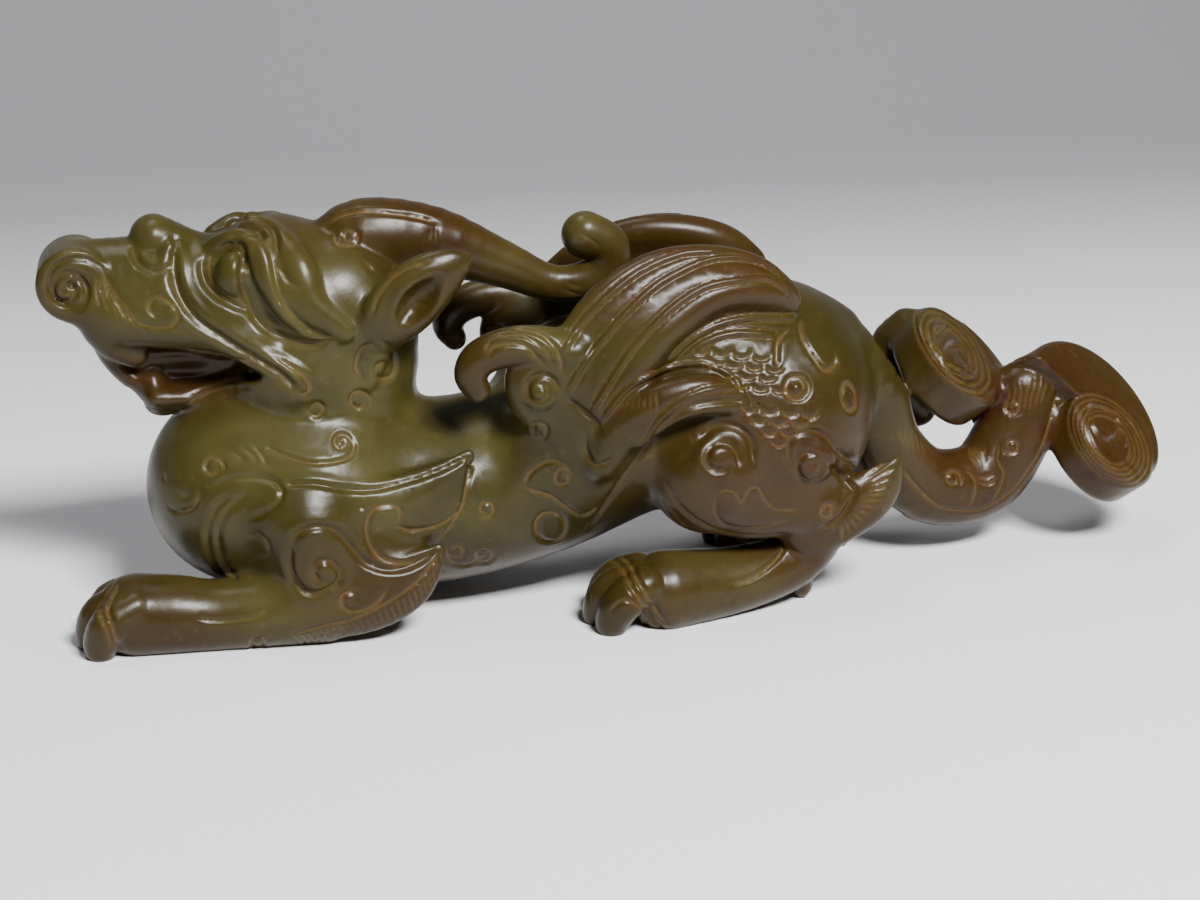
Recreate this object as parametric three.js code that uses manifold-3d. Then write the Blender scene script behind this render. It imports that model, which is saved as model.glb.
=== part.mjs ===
// A carved jade beast: it crouches on four paws, its snout curls under itself, one horn sweeps
// back and hooks up between two folded wings, and its forked tail ends in two rolled scrolls.
// It is cut from one stone, so it is one solid. Millimetres, +Z up, the nose towards -X.

import * as THREE from "three";
import { edgeTable, triTable } from "three/addons/objects/MarchingCubes.js";
import { mergeVertices } from "three/addons/utils/BufferGeometryUtils.js";
import Module from "manifold-3d";

// The whole carving: its length sets the pose, and every place below is a share of it.
const LENGTH = 124; // nose curl to tail scroll
const POSE_LENGTH = 124; // the length at which the places and radii below are written

// Main masses, as radii at POSE_LENGTH.
const CHEST_RADIUS = 10.5;
const WAIST_RADIUS = 9.8;
const RUMP_RADIUS = 11.2;
const BODY_WIDTH = 1.06; // half width of the trunk as a share of its half height
const NECK_RADIUS = 7.9;
const SKULL_RADIUS = 8.6;
const SNOUT_RADIUS = 4.3;
const NOSE_CURL_RADIUS = 3.8;
const HORN_RADIUS = 4.4;
const EAR_RADIUS = 3.9;
const SHOULDER_RADIUS = 9.2;
const HAUNCH_RADIUS = 11.2;
const KNEE_RADIUS = 6.8;
const PAW_RADIUS = 4.3;
const TOE_RADIUS = 2.1;
const TOES = 3;

// Wings, as radii at POSE_LENGTH.
const FEATHERS = 4; // long feathers on each wing
const FEATHER_RADIUS = 1.6;
const WING_THICKNESS = 0.8; // of a feather, as a share of its height
const WING_CURL_RADIUS = 5;

// Tail, as radii and widths at POSE_LENGTH.
const TAIL_RADIUS = 4.5;
const TAIL_THICKNESS = 0.74; // across the tail's flat, as a share of its width
const SCROLL_RADIUS = 6.6;
const SCROLL_WIDTH = 5.4;
const SCROLL_TURNS = 2;

// How softly the forms run into each other, and how finely the surface is cut.
const SOFT = 3.2;
const FIRM = 1.4;
const CRISP = 0.5;
const GRID_STEP = 0.72;
const TRIANGLES = 9400;
const SOLE_DEPTH = 0.9; // how far the paws reach below the ground before they are cut flat

const NEAR = -1;
const FAR = 1;
const UNIT = LENGTH / POSE_LENGTH;
const FAR_AWAY = LENGTH * 1000;

// One number between b and c on a Catmull-Rom curve through a, b, c and d.
function between(a, b, c, d, t) {
  const slopes = (c - a) * t + (2 * a - 5 * b + 4 * c - d) * t * t;
  return b + (slopes + (3 * b - a - 3 * c + d) * t * t * t) / 2;
}

// Rows of numbers on a smooth curve through the given rows.
function smoothRows(rows, steps) {
  const last = rows.length - 1;
  const out = [];
  for (let i = 0; i < last; i++) {
    const around = [rows[Math.max(i - 1, 0)], rows[i], rows[i + 1], rows[Math.min(i + 2, last)]];
    for (let k = 0; k < steps; k++) {
      out.push(rows[i].map((_, n) => between(...around.map((row) => row[n]), k / steps)));
    }
  }
  out.push(rows[last]);
  return out;
}

// A limb through rows of [x, y, z, radius]. Width is its half width in Y as a share of radius.
function strand(rows, width = 1, steps = 4) {
  const path = smoothRows(rows, steps).map((row) => row.map((value) => value * UNIT));
  const box = new THREE.Box3().setFromPoints(path.map(([x, y, z]) => new THREE.Vector3(x, y, z)));
  const centre = box.getCenter(new THREE.Vector3());
  let reach = 0;
  for (const [x, y, z, r] of path) {
    const gap = Math.hypot(x - centre.x, y - centre.y, z - centre.z);
    reach = Math.max(reach, gap + r * Math.max(1, width));
  }
  const joints = new Float64Array(path.flatMap(([x, y, z, r]) => [x, y / width, z, r]));
  const thin = Math.min(1, width);
  const distance = (x, y, z) => {
    let least = FAR_AWAY;
    for (let n = 4; n < joints.length; n += 4) {
      const ux = joints[n] - joints[n - 4];
      const uy = joints[n + 1] - joints[n - 3];
      const uz = joints[n + 2] - joints[n - 2];
      const px = x - joints[n - 4];
      const py = y / width - joints[n - 3];
      const pz = z - joints[n - 2];
      const along = (px * ux + py * uy + pz * uz) / (ux * ux + uy * uy + uz * uz);
      const t = Math.min(1, Math.max(0, along));
      const [gx, gy, gz] = [px - t * ux, py - t * uy, pz - t * uz];
      const radius = joints[n - 1] + t * (joints[n + 3] - joints[n - 1]);
      least = Math.min(least, Math.sqrt(gx * gx + gy * gy + gz * gz) - radius);
    }
    return least * thin;
  };
  return { centre, reach, distance };
}

// An egg-shaped mass with its own radius along each axis.
function ball(place, radii) {
  const centre = new THREE.Vector3(...place).multiplyScalar(UNIT);
  const [rx, ry, rz] = radii.map((r) => r * UNIT);
  const distance = (x, y, z) => {
    const px = (x - centre.x) / rx;
    const py = (y - centre.y) / ry;
    const pz = (z - centre.z) / rz;
    const near = Math.hypot(px, py, pz);
    const steep = Math.hypot(px / rx, py / ry, pz / rz);
    return steep < 1e-9 ? -Math.min(rx, ry, rz) : (near * (near - 1)) / steep;
  };
  return { centre, reach: Math.max(rx, ry, rz), distance };
}

// A rolled strip seen end on: a drum along axis, with a spiral step cut into both faces. Its rim
// swells by up to swell, where the strip winds onto it, at start degrees from the level line in
// the drum's plane, and the swelling dies away over the next reach degrees.
function roll(place, axis, { radius, width, turns, step, swell = 0, start = 0, reach = 1, bend = 1 }) {
  const centre = new THREE.Vector3(...place).multiplyScalar(UNIT);
  const along = new THREE.Vector3(...axis).normalize();
  const right = new THREE.Vector3(0, 0, 1).cross(along).normalize();
  const up = along.clone().cross(right);
  const [r, half] = [radius * UNIT, (width * UNIT) / 2];
  const pitch = r / turns;
  const edge = Math.min(pitch / 3, half / 2);
  const p = new THREE.Vector3();
  const distance = (x, y, z) => {
    p.set(x, y, z).sub(centre);
    const [a, b, c] = [p.dot(right), p.dot(up), Math.abs(p.dot(along))];
    const out = Math.hypot(a, b);
    const angle = Math.atan2(b, a);
    const past = Math.sign(reach) * (start - THREE.MathUtils.radToDeg(angle));
    const left = Math.max(0, 1 - (past - 360 * Math.floor(past / 360)) / Math.abs(reach));
    const rim = r + swell * UNIT * left ** bend;
    const phase = out / pitch - angle / (2 * Math.PI);
    const valley = Math.abs(phase - Math.round(phase)) * 2; // 0 in the valley, 1 on the crest
    const sunk = out < r ? step * UNIT * (1 - Math.min(1, valley * 2.5)) : 0;
    const over = [out - rim + edge, c - half + edge + sunk];
    const outside = Math.hypot(Math.max(over[0], 0), Math.max(over[1], 0));
    return Math.min(Math.max(...over), 0) + outside - edge;
  };
  return { centre, reach: Math.hypot(r + swell * UNIT, half), distance };
}

const forms = [];
const add = (form, blend) => forms.push({ ...form, blend: blend * UNIT, sign: 1 });
const cut = (form, blend) => forms.push({ ...form, blend: blend * UNIT, sign: -1 });
const mirrored = (rows, side) => rows.map(([x, y, ...rest]) => [x, y * side, ...rest]);

function trunk() {
  const spine = [
    [-37.5, 0, 13.9, CHEST_RADIUS],
    [-28, 0, 12.6, CHEST_RADIUS],
    [-17, 0, 12, WAIST_RADIUS],
    [-7, 0, 14, WAIST_RADIUS - 0.3],
    [3, 0, 17.8, WAIST_RADIUS - 0.5],
    [12, 0, 21, RUMP_RADIUS - 0.8],
    [18.3, 0, 22, RUMP_RADIUS],
  ];
  add(strand(spine, BODY_WIDTH), SOFT);
  const neck = [
    [-34, 0, 17, NECK_RADIUS + 1],
    [-29, 0, 22, NECK_RADIUS],
    [-27, 0, 27, NECK_RADIUS - 0.2],
    [-27.6, 0, 32, NECK_RADIUS - 0.4],
  ];
  add(strand(neck, 0.98), SOFT);
}

function skull() {
  add(ball([-28.6, 0, 32.6], [SKULL_RADIUS + 0.8, SKULL_RADIUS, SKULL_RADIUS]), FIRM);
  add(ball([-33.8, 0, 36.6], [6.4, 6.7, 5.8]), FIRM);
  for (const side of [NEAR, FAR]) {
    add(ball([-31.2, side * 4.2, 27], [6.6, 4.4, 5.2]), FIRM);
  }
}

function muzzle() {
  const bridge = [
    [-36, 0, 34.4, SNOUT_RADIUS + 1.9],
    [-43, 0, 35.2, SNOUT_RADIUS + 1.2],
    [-49, 0, 36.2, SNOUT_RADIUS + 0.1],
    [-53, 0, 36.8, SNOUT_RADIUS - 0.6],
  ];
  add(strand(bridge, 0.98), FIRM);
  const curl = { radius: NOSE_CURL_RADIUS, width: 8, turns: 1.6, step: 0.5 };
  add(roll([-53.9, 0, 36.6], [0, 1, 0], curl), CRISP);
  add(strand([[-45.8, 0, 40.4, 2.5], [-42.4, 0, 39.4, 1.8]], 1.1), CRISP);
  const jaw = [
    [-46.4, 0, 24.4, 1.7],
    [-42.6, 0, 24.3, 1.6],
    [-39, 0, 25.2, 1.7],
    [-33, 0, 25.8, 3.6],
  ];
  add(strand(jaw, 2.3), FIRM);
  add(strand([[-47, 0, 28, 2.2], [-40, 0, 28, 2.6], [-34, 0, 28.4, 3]], 0.8), CRISP);
  for (const side of [NEAR, FAR]) {
    const lip = [
      [-50.6, 2.8, 32.4, 2.4],
      [-46, 3.8, 32.3, 2.2],
      [-41, 4.7, 31.9, 2.3],
      [-36.5, 5.6, 30.8, 2.5],
    ];
    add(strand(mirrored(lip, side), 0.9), FIRM);
    const cheek = [
      [-51.6, 1.8, 34.2, 2.9],
      [-46, 2.8, 33.8, 3],
      [-39, 3.4, 33.4, 3.6],
    ];
    add(strand(mirrored(cheek, side)), FIRM);
    const gape = [
      [-46.4, 5.6, 27.8, 2.2],
      [-42, 5.6, 27.9, 2.2],
      [-36.8, 6.2, 28, 1.2],
    ];
    cut(strand(mirrored(gape, side), 1.9), CRISP);
    const fang = [
      [-51, 2.7, 32, 2.4],
      [-50, 2.6, 30.4, 2],
      [-48.4, 2.7, 29.2, 1.5],
    ];
    add(strand(mirrored(fang, side), 0.8), CRISP);
  }
  const lobe = [
    [-51.6, 0, 31.4, 1.5],
    [-50.9, 0, 28.6, 1.2],
    [-48.8, 0, 26.2, 1.3],
    [-46.8, 0, 25.8, 1.6],
  ];
  add(strand(lobe, 1.7), CRISP);
  add(ball([-47, 0, 25], [1.7, 2.6, 1.4]), CRISP);
  add(ball([-45.8, 0, 23], [1.9, 2.4, 1.2]), CRISP);
}

// The ridges that sweep back over the eye, down the cheek and along the lip.
function faceLocks() {
  for (const side of [NEAR, FAR]) {
    const lay = (rows, width) => add(strand(mirrored(rows, side), width), CRISP);
    const moustache = [
      [-44, 2.6, 39.4, 1.2],
      [-43, 4.2, 36.4, 1.3],
      [-41, 5.4, 33, 1.4],
      [-37, 6.6, 30.2, 1.5],
      [-33, 7.8, 27.8, 1.4],
      [-31.6, 7.8, 26, 1.1],
    ];
    lay(moustache, 0.8);
    add(ball([-38.2, side * 5.2, 37.4], [1.4, 1.7, 2.3]), CRISP);
    const lid = [
      [-39.6, 2.8, 39.8, 1.2],
      [-37.4, 3.8, 40.6, 1.3],
      [-35.4, 5.6, 39.6, 1.4],
      [-34.4, 6.8, 37, 1.5],
      [-32.4, 7.6, 34, 1.4],
      [-29, 8, 31.6, 1],
    ];
    lay(lid, 0.8);
    const brow = [
      [-36, 1, 41.4, 1.2],
      [-33.2, 4, 40.2, 1.5],
      [-31.6, 6.6, 38, 1.7],
      [-30.6, 7.8, 34.8, 1.6],
      [-27.4, 8.4, 32, 1.1],
    ];
    lay(brow, 0.8);
    lay([[-24.4, 7, 29.2, 1.5], [-25.2, 7, 26.4, 1]], 0.8);
  }
}

function ears() {
  for (const side of [NEAR, FAR]) {
    const leaf = [
      [-24.6, 7.4, 31.2, 2.4],
      [-21.8, 8.6, 34.4, EAR_RADIUS - 0.5],
      [-19.4, 9, 36.6, EAR_RADIUS - 0.8],
      [-17, 9, 38.2, 2],
      [-15.4, 8.8, 38.8, 0.9],
    ];
    add(strand(mirrored(leaf, side), 0.55), CRISP);
    const hollow = [
      [-22.2, 11.6, 32.8, 1],
      [-20.2, 11.6, 35.2, 1.8],
      [-18.4, 11.6, 37.2, 1],
    ];
    cut(strand(mirrored(hollow, side), 1.6), CRISP);
  }
}

function horn() {
  const blade = [
    [-28, 0, 38.8, HORN_RADIUS - 1.6],
    [-24.5, 0, 39.4, HORN_RADIUS - 0.1],
    [-17.7, 0, 39, HORN_RADIUS - 0.8],
    [-10.5, 0, 36.3, HORN_RADIUS - 1.9],
    [-4.8, 0, 33.9, HORN_RADIUS - 2.5],
    [0.2, 0, 34.8, HORN_RADIUS - 2.2],
    [0.8, 0, 37.6, HORN_RADIUS - 2.1],
    [-1.6, 0, 39, HORN_RADIUS - 1.9],
  ];
  add(strand(blade, 0.9), CRISP);
}

// The toes of a paw. They turn in a little towards the middle of the body.
function paw([x, y, z], side) {
  for (let i = 0; i < TOES; i++) {
    const across = ((i * 2) / (TOES - 1) - 1) * (PAW_RADIUS - TOE_RADIUS * 0.6);
    const reach = 1.2 * (1 - Math.abs(across) / PAW_RADIUS);
    const toe = [
      [x + 0.4, y + across * 0.7, z + 1.5, TOE_RADIUS],
      [x - 1.6 - reach, y + across - 0.3, z + 0.3, TOE_RADIUS],
      [x - 2.8 - reach, y + across - 0.8, z - 1.9, TOE_RADIUS - 0.3],
      [x - 2.8 - reach, y + across - 1, z - 3.4, TOE_RADIUS - 0.8],
    ];
    add(strand(mirrored(toe, side)), CRISP / 2);
  }
}

function foreleg(side, elbowX, pawX) {
  const shoulderX = (elbowX - 31) / 2;
  const upper = [
    [shoulderX - 1.5, 9, 12.6, SHOULDER_RADIUS - 3.2],
    [elbowX - 0.6, 9.6, 7, SHOULDER_RADIUS - 4.2],
  ];
  add(ball([shoulderX, side * 4.8, 12.6], [SHOULDER_RADIUS, 8.6, SHOULDER_RADIUS - 0.2]), SOFT);
  add(strand(mirrored(upper, side)), FIRM);
  const lower = [
    [elbowX - 1, 10.2, 4, PAW_RADIUS],
    [(elbowX + pawX) / 2 - 1, 10, 3.1, PAW_RADIUS - 0.6],
    [pawX + 3.6, 9.8, 3.4, PAW_RADIUS - 0.2],
    [pawX, 9.6, 3.5, PAW_RADIUS],
  ];
  add(strand(mirrored(lower, side)), FIRM);
  paw([pawX - 0.6, 9.6, 3.5], side);
  const plate = [
    [elbowX - 4.4, 9, 14.6, 2.8],
    [elbowX + 1.6, 10.4, 14.2, 3.2],
    [elbowX + 7.6, 10.4, 14.6, 2.7],
    [elbowX + 12, 10, 16.6, 1.7],
    [elbowX + 14.6, 9.6, 18.6, 0.7],
  ];
  add(strand(mirrored(plate, side), 0.8), CRISP);
  const panel = [
    [elbowX - 2, 9.2, 10.6, 4.2],
    [elbowX + 4, 9.4, 10.8, 4],
    [elbowX + 9, 9.2, 12.2, 3.4],
    [elbowX + 12.4, 9, 14.8, 2.2],
  ];
  add(strand(mirrored(panel, side), 0.8), FIRM);
  const tuft = [
    [elbowX - 3.4, 11.2, 4.6, 4.2],
    [elbowX + 2.4, 12, 5, 4.2],
    [elbowX + 6.5, 12.4, 5.8, 3.3],
    [elbowX + 9, 12.4, 7.2, 2.2],
    [elbowX + 11, 12.2, 9.4, 0.8],
  ];
  add(strand(mirrored(tuft, side), 0.6), CRISP);
  add(ball([elbowX + 3.6, side * 10, 8.4], [6.4, 3.6, 4]), FIRM);
  add(ball([elbowX - 1.2, side * 12.6, 9], [3, 2.2, 3]), CRISP);
}

function hindleg(side, kneeX, heelX, pawX) {
  add(ball([15.4, side * 6, 19], [HAUNCH_RADIUS + 0.9, 8.6, HAUNCH_RADIUS]), SOFT);
  add(ball([kneeX - 1, side * 9.8, 15.6], [KNEE_RADIUS - 0.2, 6.2, KNEE_RADIUS - 0.2]), FIRM);
  const shank = [
    [kneeX + 3, 9.6, 12.6, 4.6],
    [heelX, 9.4, 11.6, 4],
    [heelX + 1.8, 8.8, 8.8, 2.9],
    [heelX - 1, 8.2, 4.8, PAW_RADIUS - 1.2],
    [(heelX + pawX) / 2 + 2, 9.8, 3.4, PAW_RADIUS - 0.8],
    [pawX + 3, 11.6, 3.3, PAW_RADIUS],
  ];
  add(strand(mirrored(shank, side)), FIRM);
  paw([pawX, 11.8, 3.3], side);
  add(ball([heelX, side * 7.4, 1.8], [1.3, 1.6, 1.9]), CRISP);
  const tuft = [
    [heelX + 0.5, 10.4, 9.8, 4.1],
    [heelX + 4.8, 10.8, 11.4, 3.3],
    [heelX + 7.4, 10.8, 13.2, 2.3],
    [heelX + 9, 10.8, 15.6, 0.7],
  ];
  add(strand(mirrored(tuft, side), 0.5), CRISP);
  add(ball([19.8, side * 12.6, 17.6], [2.9, 2.2, 2.9]), CRISP);
  add(ball([kneeX - 1.4, side * 14.2, 18], [2.6, 1.7, 2.4]), CRISP);
}

// A wing: long feathers that fan from the shoulder, one short one below, and a curl in front.
function wing(side) {
  const lay = (rows, width, blend = CRISP) => add(strand(mirrored(rows, side), width), blend);
  const plate = [
    [-2, 10.6, 22, 4],
    [-0.6, 10.2, 26.6, 4.8],
    [1.8, 9.4, 31.4, 4.2],
    [6.4, 8.4, 34.6, 3.2],
    [11, 7.8, 35.8, 2.2],
    [15, 7.4, 35, 1.4],
  ];
  add(ball([-1.4, side * 6.8, 20], [9, 5.2, 8]), SOFT);
  add(ball([9.5, side * 6.4, 27.6], [9, 5, 7.2]), SOFT);
  lay(plate, 0.42, FIRM);
  const lowest = [
    [-0.6, 12, 23.8],
    [3.5, 11.8, 30],
    [7.2, 11, 33],
    [11, 10.2, 34.6],
    [15.6, 9, 34.2],
    [18.6, 7.8, 32.6],
  ];
  const crest = [
    [-6, 10.4, 28.8],
    [-1.6, 9, 34],
    [3.8, 7.6, 36.9],
    [9.1, 6.8, 37.3],
    [14, 6.5, 36.1],
    [17.8, 6.8, 34],
  ];
  for (let i = 0; i < FEATHERS; i++) {
    const t = i / (FEATHERS - 1);
    const feather = lowest.map((place, k) => {
      const radius = FEATHER_RADIUS * (k === lowest.length - 1 ? 0.5 : 1);
      return [...place.map((value, axis) => value + t * (crest[k][axis] - value)), radius];
    });
    lay(feather, WING_THICKNESS);
  }
  const covert = [
    [-1.8, 11.4, 17.8, 2],
    [0.2, 12.2, 21.4, 2.2],
    [3.4, 12.8, 24, 2.2],
    [7.6, 13, 25, 2.1],
    [11, 12.8, 24.6, 1.5],
    [12.8, 12.4, 23.8, 0.8],
  ];
  lay(covert, WING_THICKNESS);
  lay([[1.6, 13, 20.6, 1], [4.6, 13.8, 23.2, 1], [8, 14, 24, 1], [12, 13.4, 23.6, 0.8]], WING_THICKNESS);
  add(ball([-7.2, side * 9.8, 26], [WING_CURL_RADIUS - 0.6, 2.4, WING_CURL_RADIUS]), FIRM);
  const curl = [
    [-4.6, 10.6, 29.2, 2.3],
    [-8.6, 10.4, 30.2, 2.1],
    [-11.8, 10.2, 30, 2],
    [-14.2, 10, 28.9, 1.9],
    [-15, 10, 27.2, 1.7],
    [-14.3, 10, 25.7, 1.3],
  ];
  lay(curl, 0.95);
  add(ball([-8, side * 11.4, 25.4], [1.7, 1.4, 1.7]), CRISP);
}

function tail() {
  const ribbon = [
    [24, 0, 24.2, TAIL_RADIUS + 1.6],
    [30, 0.3, 19.4, TAIL_RADIUS - 0.6],
    [32.8, 1.2, 13.4, TAIL_RADIUS - 0.9],
    [37.6, 2.8, 8.2, TAIL_RADIUS - 0.2],
    [44.4, 4.4, 8, TAIL_RADIUS],
    [48.4, 5.6, 13, TAIL_RADIUS],
    [49.4, 6, 17, TAIL_RADIUS - 0.6],
  ];
  add(strand(ribbon, TAIL_THICKNESS), FIRM);
  const drum = { radius: SCROLL_RADIUS, width: SCROLL_WIDTH, turns: SCROLL_TURNS, step: 0.6 };
  const inner = { ...drum, swell: 5.2, start: -60, reach: -96, bend: 1.1 };
  add(roll([39.8, 5.2, 21.2], [0.65, -0.39, 0.65], inner), FIRM);
  const outer = { ...drum, swell: 7, start: 118, reach: 185, bend: 1 };
  add(roll([58.3, 4.4, 11.5], [0.55, -0.54, 0.64], outer), FIRM);
  const fold = [
    [36, 8.2, 25.4, 1.8],
    [34.8, 8.6, 22.4, 2.8],
    [35.4, 8.4, 18.6, 3.1],
    [37.6, 7.8, 15.8, 2.2],
  ];
  add(strand(fold), FIRM);
}

function carve() {
  trunk();
  foreleg(NEAR, -30, -49.5);
  foreleg(FAR, -23, -32);
  hindleg(NEAR, 11, 20.6, 2);
  hindleg(FAR, 15, 29, 19.5);
  skull();
  muzzle();
  faceLocks();
  horn();
  ears();
  wing(NEAR);
  wing(FAR);
  tail();
}

// Distance from a point to the surface of the forms, less than 0 inside the stone.
function depthAt(chosen, x, y, z) {
  let d = FAR_AWAY;
  for (const { centre, reach, distance, blend, sign } of chosen) {
    const [gx, gy, gz] = [x - centre.x, y - centre.y, z - centre.z];
    if (Math.sqrt(gx * gx + gy * gy + gz * gz) - reach > blend + sign * d) continue;
    const other = distance(x, y, z);
    const h = Math.max(blend - Math.abs(sign * other - d), 0);
    d = sign * Math.min(sign * d, other) - (sign * h * h) / (4 * blend);
  }
  return d;
}

// The box that holds every form, one grid step wider all round.
function sculptureBox(step) {
  const box = new THREE.Box3();
  for (const { centre, reach, sign } of forms) {
    if (sign < 0) continue;
    box.expandByPoint(centre.clone().addScalar(reach));
    box.expandByPoint(centre.clone().subScalar(reach));
  }
  box.min.z = Math.max(box.min.z, -SOLE_DEPTH * UNIT);
  return box.expandByScalar(step);
}

// Samples the depth on a grid, block by block. Far from the surface a block takes its centre's
// depth, and close to it only the forms within reach of the block are asked.
function sampleGrid(step) {
  const box = sculptureBox(step);
  const size = box.getSize(new THREE.Vector3());
  const [nx, ny, nz] = [size.x, size.y, size.z].map((length) => Math.ceil(length / step) + 1);
  const values = new Float32Array(nx * ny * nz);
  const block = 5;
  const clear = block * step * 0.9;
  const at = (i, j, k) => [box.min.x + i * step, box.min.y + j * step, box.min.z + k * step];
  const fill = (i0, j0, k0) => {
    const middle = new THREE.Vector3(...at(i0 + block / 2, j0 + block / 2, k0 + block / 2));
    const rough = depthAt(forms, ...middle.toArray());
    const far = Math.abs(rough) > clear;
    const within = Math.abs(rough) + 2 * clear;
    const touches = ({ centre, reach, blend }) => middle.distanceTo(centre) < reach + blend + within;
    const near = forms.filter(touches);
    for (let k = k0; k < Math.min(k0 + block, nz); k++) {
      for (let j = j0; j < Math.min(j0 + block, ny); j++) {
        for (let i = i0; i < Math.min(i0 + block, nx); i++) {
          const d = far ? rough : depthAt(near, ...at(i, j, k));
          values[i + nx * (j + ny * k)] = Math.max(d, (1 - k) * step) || 1e-6;
        }
      }
    }
  };
  for (let k = 0; k < nz; k += block) {
    for (let j = 0; j < ny; j += block) {
      for (let i = 0; i < nx; i += block) fill(i, j, k);
    }
  }
  return { values, nx, ny, nz, origin: box.min, step };
}

// Marching cubes over the grid, with the corners in the order that three.js's tables expect.
function surfaceOf({ values, nx, ny, nz, origin, step }) {
  const [dy, dz] = [nx, nx * ny];
  const corners = [0, 1, 1 + dy, dy, dz, 1 + dz, 1 + dy + dz, dy + dz];
  const edges = [
    [0, 1], [1, 2], [3, 2], [0, 3], [4, 5], [5, 6], [7, 6], [4, 7], [0, 4], [1, 5], [2, 6], [3, 7],
  ];
  const made = new Map();
  const places = [];
  const faces = [];
  const gridPlace = (q) => [q % nx, Math.floor(q / nx) % ny, Math.floor(q / dz)];
  const crossing = (a, b) => {
    const key = a * 8 + Math.log2(b - a === 1 ? 1 : b - a === dy ? 2 : 4);
    if (!made.has(key)) {
      const t = values[a] / (values[a] - values[b]);
      const [from, to] = [gridPlace(a), gridPlace(b)];
      const place = from.map((n, axis) => (n + t * (to[axis] - n)) * step + origin.getComponent(axis));
      made.set(key, places.push(place) - 1);
    }
    return made.get(key);
  };
  for (let k = 0; k < nz - 1; k++) {
    for (let j = 0; j < ny - 1; j++) {
      for (let i = 0; i < nx - 1; i++) {
        const q = i + dy * j + dz * k;
        const code = corners.reduce((bits, corner, n) => bits | ((values[q + corner] < 0) << n), 0);
        if (!edgeTable[code]) continue;
        for (let n = code * 16; triTable[n] >= 0; n += 3) {
          const ids = [0, 1, 2].map((m) => {
            const [a, b] = edges[triTable[n + m]];
            return crossing(q + corners[a], q + corners[b]);
          });
          faces.push([ids[0], ids[2], ids[1]]);
        }
      }
    }
  }
  return { places, faces };
}

// A queue that hands back its cheapest entry first.
class CheapestFirst {
  entries = [];

  push(entry) {
    let i = this.entries.push(entry) - 1;
    while (i > 0) {
      const parent = (i - 1) >> 1;
      if (this.entries[parent].cost <= entry.cost) break;
      this.entries[i] = this.entries[parent];
      i = parent;
    }
    this.entries[i] = entry;
  }

  pop() {
    const top = this.entries[0];
    const last = this.entries.pop();
    const count = this.entries.length;
    if (count === 0) return top;
    let i = 0;
    while (2 * i + 1 < count) {
      let child = 2 * i + 1;
      if (child + 1 < count && this.entries[child + 1].cost < this.entries[child].cost) child++;
      if (this.entries[child].cost >= last.cost) break;
      this.entries[i] = this.entries[child];
      i = child;
    }
    this.entries[i] = last;
    return top;
  }
}

const minus = (a, b) => [a[0] - b[0], a[1] - b[1], a[2] - b[2]];
const dot = (a, b) => a[0] * b[0] + a[1] * b[1] + a[2] * b[2];
const crossed = ([ax, ay, az], [bx, by, bz]) => [ay * bz - az * by, az * bx - ax * bz, ax * by - ay * bx];

// The squared distances of a place from the planes summed in q.
function planeError(q, [x, y, z]) {
  const flat = q[0] * x * x + q[4] * y * y + q[7] * z * z + q[9];
  return flat + 2 * (q[1] * x * y + q[2] * x * z + q[3] * x + q[5] * y * z + q[6] * y + q[8] * z);
}

// Where the edge from a to b shrinks to with the least change of shape.
function bestPlace(q, a, b) {
  const [xx, xy, xz, xw, yy, yz, yw, zz, zw] = q;
  const rows = [[xx, xy, xz], [xy, yy, yz], [xz, yz, zz]];
  const right = [-xw, -yw, -zw];
  const middle = a.map((value, n) => (value + b[n]) / 2);
  const steep = dot(rows[0], crossed(rows[1], rows[2]));
  const edge = minus(b, a);
  if (steep > 1e-4 * (xx + yy + zz) ** 3) {
    const place = [
      dot(right, crossed(rows[1], rows[2])) / steep,
      dot(rows[0], crossed(right, rows[2])) / steep,
      dot(rows[0], crossed(rows[1], right)) / steep,
    ];
    const off = minus(place, middle);
    if (dot(off, off) < dot(edge, edge)) return place;
  }
  const better = (one, two) => (planeError(q, two) < planeError(q, one) ? two : one);
  return [a, b, middle].reduce(better);
}

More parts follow.
